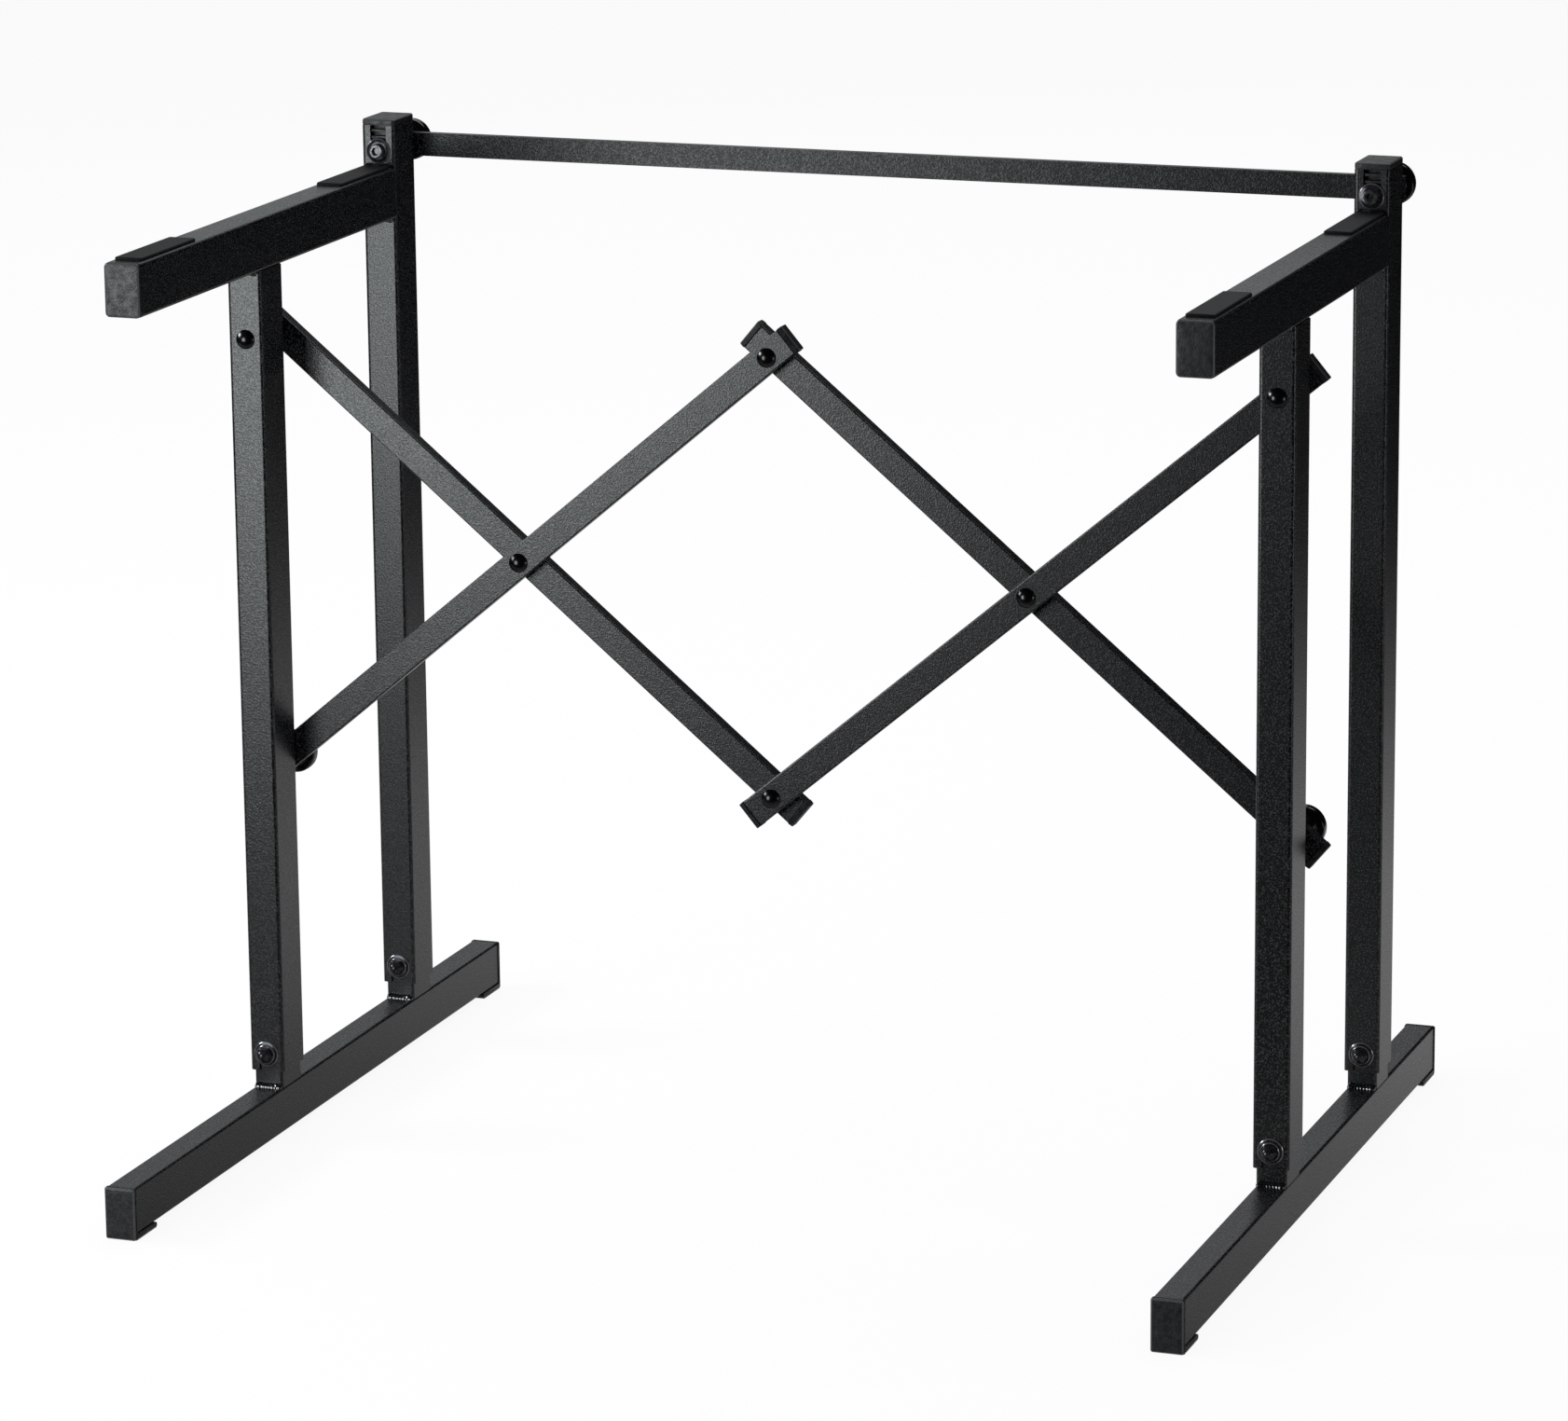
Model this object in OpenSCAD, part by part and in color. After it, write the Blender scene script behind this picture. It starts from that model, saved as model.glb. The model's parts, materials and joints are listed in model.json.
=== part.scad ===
// Table-style keyboard stand with a double scissor front and a hook-on rear brace.
// X runs across the stand, Y runs to the back, Z is up. The floor is Z = 0.
// Two welded side frames stand on telescoping legs. Four flat tubes make the scissor.
// The left foot is the root. The frames slide up, the scissor folds, the brace swings off.

/* [Side frames] */
// Distance between the middle planes of the two side frames
frame_span = 725; // [600:5:860]
// Width of the post and arm tube, seen from the front
post_w = 25; // [24:0.5:30]
// Depth of the post tube, which is also the height of the arm
post_d = 36; // [34:0.5:42]
// Wall of the post and arm tube
post_wall = 1.5; // [1.2:0.1:1.8]
// Outer corner radius of the post and arm tube
post_corner = 2.5; // [2:0.1:3]
// Middle of the front post, measured from the middle of the foot
front_post_y = -62; // [-80:1:-50]
// Distance from the front post to the rear post
post_pitch = 233; // [210:1:260]
// Height of the lower end of the posts with the stand at its lowest
post_bottom_z = 48.5; // [46:0.5:56]
// Height of the underside of the arm
arm_bottom_z = 613.5; // [600:0.5:660]
// Length of the arm tube from its front end to the rear post
arm_len = 418; // [390:1:450]
// Height of the rear post above the arm
rear_rise = 30; // [30:0.5:40]

/* [Feet and legs] */
// Overall length of a foot with both end caps
foot_len = 640; // [600:1:700]
// Play between the inner leg tube and the post, each side
slide_play = 0.5; // [0.4:0.1:0.7]
// Outer corner radius of the foot and leg tube
leg_corner = 2; // [1.6:0.1:2.4]
// Thickness of the sole under each end of the foot
sole_t = 4; // [3:0.5:6]
// Length of the sole along the foot
sole_len = 34; // [28:1:45]
// Thickness of the end plate of a foot cap
foot_plate_t = 4; // [3:0.5:6]
// How far a foot cap stands out past the tube
foot_cap_lip = 0.5; // [0.4:0.1:1]
// Corner radius of a foot cap
foot_cap_corner = 1.5; // [1:0.1:2]
// Thickness of the rim of a foot cap between the tube and the groove
foot_cap_rim = 1.2; // [0.8:0.1:1.6]
// Slope around the face of a foot cap
foot_cap_slope = 1.4; // [1:0.1:1.8]
// Height of the top of the inner leg tube
leg_top_z = 460; // [440:5:480]
// Number of height holes in each inner leg tube
height_holes = 7; // [5:1:7]
// How far the frames can be raised, from the lowest hole to the highest
lift_range = 300; // [250:5:300]

/* [Leg bolts] */
// Width of the open notch in the post ends
notch_w = 12; // [11:0.5:13]
// Distance from a post end to the middle of its bolt at the bottom
leg_bolt_rise = 12.5; // [12:0.5:14]
// Diameter of the leg bolts
leg_bolt_d = 6; // [5:0.5:7]
// Diameter of the washers
washer_d = 18; // [17:0.5:20]
// Thickness of the washers
washer_t = 1.6; // [1.2:0.1:2]
// Size of the acorn nut across its flats
nut_flats = 10; // [9.5:0.5:11]
// Height of the straight part of the acorn nut
nut_h = 4.5; // [4:0.5:6]
// Diameter of the acorn dome
dome_d = 9.4; // [8.6:0.2:9.6]
// Height of the acorn dome
dome_h = 4.3; // [3.6:0.1:4.6]
// Diameter of the flange at the foot of the acorn nut
flange_d = 13; // [12:0.5:14]
// Thickness of the flange at the foot of the acorn nut
flange_t = 1.2; // [0.8:0.1:1.6]
// Thickness of the lock nut inside the leg
lock_nut_t = 5; // [4:0.5:6]
// Size of the lock nut across its flats
lock_nut_flats = 10; // [9.5:0.5:11]

/* [Scissor] */
// Distance from the underside of the arm down to the upper pivots
pivot_drop = 47; // [42:0.5:60]
// Drop from the upper pivots to the lower pivots as photographed
scissor_drop = 303; // [280:1:320]
// Width of a scissor bar, seen from the front
bar_w = 20; // [19:0.5:24]
// Thickness of a scissor bar, front to back
bar_t = 10; // [9:0.5:12]
// Wall of a scissor bar
bar_wall = 1.2; // [1:0.1:1.5]
// Outer corner radius of a scissor bar
bar_corner = 1; // [0.8:0.1:1.4]
// Length of bar tube past its end pivots
bar_tail = 17.4; // [15:0.2:20]
// Thickness of the end cap of a scissor bar
bar_cap_t = 4.8; // [3.6:0.2:6]
// How far a bar cap stands out past the tube
bar_cap_lip = 0.3; // [0.2:0.1:0.5]
// Slope on the front and back of the outer end of a bar cap
bar_cap_chamfer = 1.7; // [1:0.1:2.2]
// Thickness of the spacers between the layers
spacer_t = 2; // [1.6:0.1:2.5]
// Diameter of the spacers between the layers
spacer_d = 15; // [14:0.5:17]
// Diameter of the pivot pins
pin_d = 8; // [7:0.5:9]
// Radial running clearance of the pins in their bores
pin_play = 0.05; // [0.03:0.01:0.1]
// Diameter of the domed rivet heads
rivet_d = 13.4; // [12.4:0.2:14.6]
// Height of the domed rivet heads
rivet_h = 4; // [3:0.2:5]
// Height of the flat peened tail of a rivet
tail_h = 2.5; // [2:0.1:3.5]
// Largest fold angle from the photographed pose
fold_max = 36; // [30:1:36]

/* [Knobs] */
// Diameter of the knob rim
knob_d = 29.6; // [27:0.2:34]
// Thickness of the knob rim
knob_rim_t = 9; // [7:0.5:12]
// Diameter of the knob neck
knob_neck_d = 19; // [17:0.5:21]
// Length of the knob neck
knob_neck_h = 10; // [8:0.5:13]
// Radius of the round edges of the rim
knob_round = 1.6; // [1:0.1:2]
// Width of the raised border around the face of the knob
knob_border = 3.8; // [3:0.2:5]
// Depth of the recess inside that border
knob_recess = 1.2; // [0.8:0.1:2]

/* [Rear brace] */
// Distance from the top of the rear post down to the middle of the brace
brace_drop = 18; // [17.5:0.5:19]
// Height of the flat bar
brace_h = 16.5; // [15:0.5:20]
// Thickness of the flat bar
brace_t = 6; // [4:0.5:8]
// Washer thickness between the post and the brace
brace_shim = 0.6; // [0.5:0.1:1.2]
// Air left on each face of the brace so that it can swing
brace_air = 0.1; // [0.05:0.05:0.2]
// Diameter of the brace bolts
brace_bolt_d = 6; // [5:0.5:7]
// Diameter of the brace bolt head
brace_head_d = 10.4; // [9.6:0.2:12]
// Height of the brace bolt head
brace_head_h = 4; // [3:0.5:5]
// Size of the hexagon socket across its flats
socket_flats = 5; // [4:0.5:6]
// Depth of the hexagon socket
socket_depth = 2.6; // [2:0.1:3]
// Degrees the brace swings for each degree of fold
brace_ratio = 1.5; // [1.4:0.05:1.5]

/* [Caps and pads] */
// Thickness of the arm end cap outside the tube
arm_cap_t = 4; // [3:0.5:6]
// Thickness of the flat top cap outside the tube
top_cap_t = 4.5; // [4:0.5:6]
// Chamfer around the faces of the arm and top caps
cap_chamfer = 1; // [0.6:0.1:1.4]
// Depth of the groove between a cap and its tube
cap_groove = 0.5; // [0.4:0.1:0.7]
// Width of the groove between a cap and its tube
groove_w = 0.5; // [0.4:0.1:0.7]
// Depth of the cap plugs inside their tubes
plug_len = 14; // [10:1:20]
// Depth of the top cap plug, which stays above the brace bolt
top_plug_len = 12; // [10:0.5:13]
// Distance from one rib of a plug to the next
rib_pitch = 4.8; // [4.2:0.1:5]
// Thickness of a rib of a plug
rib_t = 1.8; // [1.2:0.1:2.2]
// Height of the ribs above the core of a plug
rib_h = 1.4; // [1:0.1:1.6]
// Width of a rest pad
pad_w = 19.5; // [18:0.5:21]
// Length of a rest pad
pad_len = 84; // [70:1:110]
// Thickness of a rest pad
pad_t = 2.2; // [1.5:0.1:4]
// Distance from the cap seam of the arm to the front pad
pad_inset = 7; // [4:0.5:15]
// Distance from the rear pad to the rear post, which leaves room for the weld
pad_gap = 3.6; // [3:0.2:6]

/* [Hidden] */
$fn = 48;
// Overlap that joins the parts of one piece, and how far a cutter runs past a face
eps = 0.01;
cutter = 1;
pin_embed = 1;
hole_overrun = 0.5;
// Play of a bolt in its slots, and of a plug in its tube
slot_play = 0.05;
leg_slot_play = 0.5;
plug_play = 0.1;
plug_clear = 3;
// Corners too small to measure on the photographed stand
rib_corner = 1;
least_corner = 0.4;
steel = [0.16, 0.16, 0.17];
bright = [0.1, 0.1, 0.11];
plastic = [0.07, 0.07, 0.07];
rubber = [0.12, 0.12, 0.12];

half_span = frame_span / 2;
rear_post_y = front_post_y + post_pitch;
arm_top_z = arm_bottom_z + post_d;
post_top_z = arm_top_z + rear_rise;
rear_face_y = rear_post_y - post_d / 2;
front_face_y = front_post_y - post_d / 2;
arm_front_y = rear_face_y - arm_len;

foot_w = post_w - 2 * (post_wall + slide_play);
foot_h = post_d - 2 * (post_wall + slide_play);
foot_top_z = sole_t + foot_h;
foot_tube_len = foot_len - 2 * foot_plate_t;
leg_bolt_z = post_bottom_z + leg_bolt_rise;
bush_d = notch_w - 2 * slot_play;
bolt_overrun = 0.5;
height_pitch = lift_range / (height_holes - 1);
height_slot_w = pin_d + 2 * leg_slot_play;

brace_z = post_top_z - brace_drop;
upper_pivot_z = arm_bottom_z - pivot_drop;
theta = atan2(scissor_drop, half_span);
link = sqrt(half_span * half_span + scissor_drop * scissor_drop);
lower_pivot_z = upper_pivot_z - scissor_drop;
cross_pivot_z = upper_pivot_z - scissor_drop / 2;
folded_z = upper_pivot_z - link * sin(theta + fold_max);
post_back_y = front_post_y + post_d / 2;
front_layer_y = post_back_y + spacer_t;
rear_layer_y = front_layer_y + bar_t + spacer_t;
bore_d = pin_d + 2 * pin_play;
tail_d = rivet_d - 1;
slot_w = pin_d + 2 * slot_play;
slide_head_d = 12;
slide_head_t = 4;
slide_head_gap = 0.3;
slide_air = 0.1;
leg_back_inner_y = post_back_y - 2 * post_wall - slide_play;

pad_corner = 1.4;
pad_chamfer = 0.7;

brace_back_y = rear_post_y + post_d / 2;
brace_y = brace_back_y + brace_shim + brace_air;
brace_end_y = brace_y + brace_t + brace_air;
brace_len = frame_span + post_w;
exit_w = brace_bolt_d + 6 * pin_play;
exit_rise = brace_h / 2 + brace_bolt_d / 2;
exit_fold = asin(exit_rise / frame_span) / brace_ratio;
exit_width = frame_span * cos(theta + exit_fold) / cos(theta);
exit_lean = atan2(frame_span - exit_width, exit_rise);

// Moves a piece from the middle plane to the left (-1) or right (1) frame
module at_side(s) {
  translate([s * half_span, 0, 0]) children();
}

// Turns a piece drawn along Z so that it points to the back
module to_back() {
  rotate([-90, 0, 0]) children();
}

// Turns a piece drawn along Z so that it points to the front
module to_front() {
  rotate([90, 0, 0]) children();
}

// Rectangle with true round corners
module round_rect(w, d, r) {
  square([w - 2 * r, d], center = true);
  square([w, d - 2 * r], center = true);
  for (x = [-1, 1]) {
    for (y = [-1, 1]) {
      translate([x * (w / 2 - r), y * (d / 2 - r)]) circle(r = r);
    }
  }
}

// Rectangular tube along Z
module box_tube(w, d, len, wall, r) {
  linear_extrude(height = len) {
    difference() {
      round_rect(w, d, r);
      round_rect(w - 2 * wall, d - 2 * wall, max(r - wall, least_corner));
    }
  }
}

// Block along Z with round corners and a far end sloped along X by cx and along Y by cy
module capped_block(w, d, h, r, cx, cy) {
  side_x = cx * sqrt(2);
  side_y = cy * sqrt(2);
  difference() {
    linear_extrude(height = h) round_rect(w, d, r);
    for (x = [-1, 1]) {
      translate([x * w / 2, 0, h]) {
        rotate([0, 45, 0]) cube([side_x, d + 2 * cutter, side_x], center = true);
      }
    }
    for (y = [-1, 1]) {
      translate([0, y * d / 2, h]) {
        rotate([45, 0, 0]) cube([w + 2 * cutter, side_y, side_y], center = true);
      }
    }
  }
}

// Block along Z with a groove around it that starts at a height, as on every push-in cap
module grooved_cap(w, d, h, r, cx, cy, groove_z) {
  difference() {
    capped_block(w, d, h, r, cx, cy);
    translate([0, 0, groove_z]) {
      linear_extrude(height = groove_w) {
        difference() {
          square([w + 2 * cutter, d + 2 * cutter], center = true);
          round_rect(w - 2 * cap_groove, d - 2 * cap_groove, max(r - cap_groove, least_corner));
        }
      }
    }
  }
}

// Flat dome on Z = 0 cut from a sphere
module dome(d, h) {
  big_r = (d * d / 4 + h * h) / (2 * h);
  intersection() {
    translate([0, 0, h - big_r]) sphere(r = big_r);
    cylinder(h = h + cutter, d = d + cutter);
  }
}

// Slot cutter from the origin up along Z, round at both ends, through the wall along Y
module slot_cut(w, len, depth) {
  to_back() cylinder(h = depth, d = w);
  translate([0, 0, len]) to_back() cylinder(h = depth, d = w);
  translate([-w / 2, 0, 0]) cube([w, depth, len]);
}

// Foot tube lying along Y, drawn with the cross holes left out
module foot_tube_shape() {
  translate([0, -foot_tube_len / 2, sole_t + foot_h / 2]) {
    to_back() box_tube(foot_w, foot_h, foot_tube_len, post_wall, leg_corner);
  }
}

// Inner leg tube with the height holes in its front wall
module leg_shape(y) {
  difference() {
    translate([0, y, foot_top_z]) box_tube(foot_w, foot_h, leg_top_z - foot_top_z, post_wall, leg_corner);
    for (i = [0 : height_holes - 1]) {
      translate([0, y - foot_h / 2 - cutter, leg_bolt_z + i * height_pitch]) {
        to_back() cylinder(h = post_wall + 2 * cutter, d = leg_bolt_d + 2 * pin_play);
      }
    }
  }
}

// Front leg tube, slotted at the back for the head of the scissor slide bolt
module front_leg_shape() {
  difference() {
    leg_shape(front_post_y);
    translate([-height_slot_w / 2, front_post_y + foot_h / 2 - post_wall - cutter, folded_z]) {
      cube([height_slot_w, post_wall + 2 * cutter, leg_top_z - folded_z + cutter]);
    }
    translate([0, front_post_y + foot_h / 2 - post_wall - cutter, folded_z]) {
      to_back() cylinder(h = post_wall + 2 * cutter, d = height_slot_w);
    }
  }
}

// L-shaped foot cap with a plug in the tube, an end plate and a sole below
module foot_cap_shape() {
  plate_w = foot_w + 2 * foot_cap_lip;
  plate_h = foot_top_z + foot_cap_lip;
  translate([0, -foot_len / 2 + foot_plate_t, plate_h / 2]) {
    to_front() grooved_cap(
      plate_w, plate_h, foot_plate_t, foot_cap_corner, foot_cap_slope, foot_cap_slope, foot_cap_rim
    );
  }
  translate([-plate_w / 2, -foot_len / 2 + foot_plate_t - eps, 0]) {
    cube([plate_w, sole_len - foot_plate_t - sole_t / 2, sole_t]);
  }
  translate([-plate_w / 2, -foot_len / 2 + sole_len - sole_t / 2, sole_t / 2]) {
    rotate([0, 90, 0]) cylinder(h = plate_w, d = sole_t);
  }
  translate([0, -foot_len / 2 + foot_plate_t - eps, sole_t + foot_h / 2]) {
    to_back() plug_shape(foot_w - 2 * post_wall, foot_h - 2 * post_wall, plug_len);
  }
}

// Ribbed plug along Z that fills a tube
module plug_shape(w, d, len) {
  rib_w = w - 2 * plug_play;
  rib_d = d - 2 * plug_play;
  linear_extrude(height = len) square([rib_w - 2 * rib_h, rib_d - 2 * rib_h], center = true);
  for (i = [1 : floor(len / rib_pitch)]) {
    translate([0, 0, i * rib_pitch - rib_t]) {
      linear_extrude(height = rib_t) round_rect(rib_w, rib_d, rib_corner);
    }
  }
}

// Leg bolt with the smooth bush that the post notch rests on and the lock nut inside the leg
module leg_bolt_shape(y) {
  face = y - post_d / 2;
  leg_face = face + post_wall + slide_play;
  nut_face = leg_face + post_wall + lock_nut_t;
  bolt_end = face - washer_t - nut_h - bolt_overrun;
  translate([0, nut_face + bolt_overrun, leg_bolt_z]) {
    to_front() cylinder(h = nut_face + bolt_overrun - bolt_end, d = leg_bolt_d);
  }
  translate([0, leg_face, leg_bolt_z]) to_front() cylinder(h = leg_face - face, d = bush_d);
  translate([0, nut_face, leg_bolt_z]) {
    to_front() cylinder(h = lock_nut_t, d = lock_nut_flats / cos(30), $fn = 6);
  }
}

// Hexagon along Z whose far corners are turned off at 30 degrees, as on every nut
module nut_body(flats, h) {
  intersection() {
    cylinder(h = h, d = flats / cos(30), $fn = 6);
    cylinder(h = h, d1 = flats + 2 * h / tan(30), d2 = flats);
  }
}

// Washer, stepped flange and acorn nut in front of the post
module leg_nut_shape(y) {
  face = y - post_d / 2;
  translate([0, face, leg_bolt_z]) {
    to_front() {
      difference() {
        union() {
          cylinder(h = washer_t, d = washer_d);
          translate([0, 0, washer_t - eps]) cylinder(h = flange_t, d = flange_d);
          translate([0, 0, washer_t + flange_t - 2 * eps]) nut_body(nut_flats, nut_h - flange_t);
          translate([0, 0, washer_t + nut_h - 3 * eps]) dome(dome_d, dome_h);
        }
        translate([0, 0, -cutter]) {
          cylinder(h = washer_t + nut_h + bolt_overrun + 2 * cutter, d = leg_bolt_d + 2 * pin_play);
        }
      }
    }
  }
}

// Front post with the open notch below and the scissor slot in the back wall
module post_front_shape() {
  difference() {
    translate([0, front_post_y, post_bottom_z]) {
      box_tube(post_w, post_d, arm_bottom_z - post_bottom_z, post_wall, post_corner);
    }
    notch_below(front_post_y);
    translate([0, post_back_y - post_wall - cutter, folded_z]) {
      slot_cut(slot_w, lower_pivot_z - folded_z, post_wall + 2 * cutter);
    }
    translate([0, front_face_y - cutter, upper_pivot_z]) {
      to_back() cylinder(h = post_d + 2 * cutter, d = bore_d);
    }
  }
}

// Notch open at the lower end of a post
module notch_below(y) {
  translate([0, y - post_d / 2 - cutter, leg_bolt_z]) {
    to_back() cylinder(h = post_wall + 2 * cutter, d = notch_w);
  }
  translate([-notch_w / 2, y - post_d / 2 - cutter, post_bottom_z - cutter]) {
    cube([notch_w, post_wall + 2 * cutter, leg_bolt_rise + cutter]);
  }
}

// Rear post with an open notch at each end and a round hole for the brace bolt
module post_rear_shape() {
  difference() {
    translate([0, rear_post_y, post_bottom_z]) {
      box_tube(post_w, post_d, post_top_z - post_bottom_z, post_wall, post_corner);
    }
    notch_below(rear_post_y);
    translate([0, rear_face_y - cutter, brace_z]) {
      to_back() cylinder(h = post_wall + 2 * cutter, d = notch_w);
    }
    translate([-notch_w / 2, rear_face_y - cutter, brace_z]) {
      cube([notch_w, post_wall + 2 * cutter, post_top_z - brace_z + cutter]);
    }
    translate([0, brace_back_y - post_wall - cutter, brace_z]) {
      to_back() cylinder(h = post_wall + 2 * cutter, d = brace_bolt_d + 2 * pin_play);
    }
  }
}

// Arm tube lying on the front post and butting against the rear post
module arm_shape() {
  translate([0, arm_front_y, arm_bottom_z + post_d / 2]) {
    to_back() box_tube(post_w, post_d, arm_len, post_wall, post_corner);
  }
}

// Push-in cap at the front of the arm
module arm_cap_shape() {
  translate([0, arm_front_y, arm_bottom_z + post_d / 2]) {
    to_front() grooved_cap(post_w, post_d, arm_cap_t, post_corner, cap_chamfer, cap_chamfer, 0);
    translate([0, -eps, 0]) to_back() plug_shape(post_w - 2 * post_wall, post_d - 2 * post_wall, plug_len);
  }
}

// Flat cap on the rear post
module top_cap_shape() {
  translate([0, rear_post_y, post_top_z]) {
    grooved_cap(post_w, post_d, top_cap_t, post_corner, cap_chamfer, cap_chamfer, 0);
    translate([0, 0, eps]) rotate([180, 0, 0]) {
      plug_shape(post_w - 2 * post_wall, post_d - 2 * post_wall, top_plug_len);
    }
  }
}

// Rest pad on the arm, drawn from its front edge
module pad_shape(y) {
  translate([0, y + pad_len / 2, arm_top_z]) {
    capped_block(pad_w, pad_len, pad_t, pad_corner, pad_chamfer, pad_chamfer);
  }
}

// Rivet through a post and the bar that hangs behind it
module post_rivet_shape(layer_y) {
  translate([0, front_face_y, upper_pivot_z]) {
    to_front() dome(rivet_d, rivet_h);
    to_back() translate([0, 0, -eps]) cylinder(h = layer_y + bar_t - front_face_y + pin_embed, d = pin_d);
  }
  translate([0, post_back_y, upper_pivot_z]) to_back() cylinder(h = layer_y - post_back_y, d = spacer_d);
  translate([0, layer_y + bar_t, upper_pivot_z]) to_back() cylinder(h = tail_h, d = tail_d);
}

// Rivet through two crossing bars, head to the front
module cross_rivet_shape(x, z) {
  translate([x, front_layer_y, z]) {
    to_front() dome(rivet_d, rivet_h);
    to_back() translate([0, 0, -eps]) cylinder(h = 2 * bar_t + spacer_t + pin_embed, d = pin_d);
    translate([0, bar_t, 0]) to_back() cylinder(h = spacer_t, d = spacer_d);
    translate([0, 2 * bar_t + spacer_t, 0]) to_back() cylinder(h = tail_h, d = tail_d);
  }
}

// Bolt that joins a bar to the slot of its post, with its head inside the leg
module slide_bolt_shape(layer_y) {
  head_y = leg_back_inner_y - slide_head_gap;
  translate([0, head_y - slide_head_t, lower_pivot_z]) {
    to_back() cylinder(h = slide_head_t, d = slide_head_d);
  }
  translate([0, head_y - eps, lower_pivot_z]) {
    to_back() cylinder(h = layer_y + bar_t + washer_t + knob_neck_h - head_y, d = pin_d);
  }
  translate([0, post_back_y + slide_air, lower_pivot_z]) {
    to_back() cylinder(h = layer_y - post_back_y - slide_air, d = spacer_d);
  }
  translate([0, layer_y + bar_t, lower_pivot_z]) to_back() cylinder(h = washer_t, d = spacer_d);
}

// Knob turned about Z with its neck on Z = 0, round at the rim and recessed in its face
module knob_shape(hole_d) {
  full = knob_neck_h + knob_rim_t;
  mouth_d = knob_d - 2 * knob_border;
  difference() {
    rotate_extrude() {
      square([knob_neck_d / 2, knob_neck_h + knob_round]);
      intersection() {
        translate([0, knob_neck_h + knob_rim_t / 2]) round_rect(knob_d, knob_rim_t, knob_round);
        square([knob_d, full]);
      }
    }
    translate([0, 0, full - knob_recess]) {
      cylinder(h = knob_recess + cutter, d1 = mouth_d - knob_recess, d2 = mouth_d + cutter);
    }
    translate([0, 0, -cutter]) cylinder(h = knob_neck_h + cutter + hole_overrun, d = hole_d);
  }
}

// Knob behind a bar of the scissor
module slide_knob_shape(layer_y) {
  translate([0, layer_y + bar_t + washer_t, lower_pivot_z]) to_back() knob_shape(bore_d);
}

// Knob behind the brace
module brace_knob_shape() {
  translate([0, brace_end_y + washer_t, brace_z]) to_back() knob_shape(brace_bolt_d + 2 * pin_play);
}

// Brace bolt with its washer and socket head in front of the rear post
module brace_bolt_shape() {
  translate([0, rear_face_y, brace_z]) {
    to_front() cylinder(h = washer_t, d = washer_d);
    translate([0, -washer_t + eps, 0]) {
      to_front() {
        difference() {
          cylinder(h = brace_head_h, d = brace_head_d);
          translate([0, 0, brace_head_h - socket_depth]) {
            cylinder(h = socket_depth + cutter, d = socket_flats / cos(30), $fn = 6);
          }
        }
      }
    }
    to_back() translate([0, 0, -eps]) {
      cylinder(h = brace_end_y + washer_t + knob_neck_h - rear_face_y, d = brace_bolt_d);
    }
  }
  translate([0, brace_back_y, brace_z]) to_back() cylinder(h = brace_shim, d = spacer_d);
  translate([0, brace_end_y, brace_z]) to_back() cylinder(h = washer_t, d = spacer_d);
}

// Scissor bar drawn along X from its first pivot, front face on Y = 0
module bar_shape() {
  difference() {
    translate([-bar_tail, bar_t / 2, 0]) {
      rotate([0, 90, 0]) box_tube(bar_w, bar_t, link + 2 * bar_tail, bar_wall, bar_corner);
    }
    for (x = [0, link / 2, link]) {
      translate([x, -cutter, 0]) to_back() cylinder(h = bar_t + 2 * cutter, d = bore_d);
    }
  }
}

// End cap of a scissor bar, drawn past the end at X = 0 and pointing along X
module bar_cap_shape() {
  translate([bar_tail, bar_t / 2, 0]) {
    rotate([0, 90, 0]) {
      grooved_cap(
        bar_w + 2 * bar_cap_lip, bar_t + 2 * bar_cap_lip, bar_cap_t, bar_corner,
        least_corner, bar_cap_chamfer, 0
      );
      translate([0, 0, eps]) rotate([180, 0, 0]) {
        plug_shape(bar_w - 2 * bar_wall, bar_t - 2 * bar_wall, bar_tail - pin_d / 2 - plug_clear);
      }
    }
  }
}

// Bar falling to the right from a pivot
module falling(x, z, layer_y) {
  translate([x, layer_y, z]) rotate([0, theta, 0]) children();
}

// Bar rising to the right from a pivot
module rising(x, z, layer_y) {
  translate([x, layer_y, z]) rotate([0, -theta, 0]) children();
}

// Flat brace, bored at the left and open upward at the right
module brace_shape() {
  difference() {
    translate([-brace_len / 2, brace_y, brace_z - brace_h / 2]) cube([brace_len, brace_t, brace_h]);
    translate([-half_span, brace_y - cutter, brace_z]) {
      to_back() cylinder(h = brace_t + 2 * cutter, d = brace_bolt_d + 2 * pin_play);
    }
    translate([half_span, brace_y - cutter, brace_z]) {
      rotate([0, -exit_lean, 0]) {
        to_back() cylinder(h = brace_t + 2 * cutter, d = exit_w);
        translate([-exit_w / 2, 0, 0]) {
          cube([exit_w, brace_t + 2 * cutter, brace_h]);
        }
      }
    }
  }
}

module left_foot_tube() { color(steel) at_side(-1) foot_tube_shape(); }
module left_leg_front() { color(steel) at_side(-1) front_leg_shape(); }
module left_leg_rear() { color(steel) at_side(-1) leg_shape(rear_post_y); }
module left_foot_cap_front() { color(plastic) at_side(-1) foot_cap_shape(); }
module left_foot_cap_rear() { color(plastic) at_side(-1) rotate([0, 0, 180]) foot_cap_shape(); }
module left_leg_bolt_front() { color(bright) at_side(-1) leg_bolt_shape(front_post_y); }
module left_leg_bolt_rear() { color(bright) at_side(-1) leg_bolt_shape(rear_post_y); }
module left_leg_nut_front() { color(bright) at_side(-1) leg_nut_shape(front_post_y); }
module left_leg_nut_rear() { color(bright) at_side(-1) leg_nut_shape(rear_post_y); }
module left_post_front() { color(steel) at_side(-1) post_front_shape(); }
module left_post_rear() { color(steel) at_side(-1) post_rear_shape(); }
module left_arm() { color(steel) at_side(-1) arm_shape(); }
module left_arm_cap() { color(plastic) at_side(-1) arm_cap_shape(); }
module left_top_cap() { color(plastic) at_side(-1) top_cap_shape(); }
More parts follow.
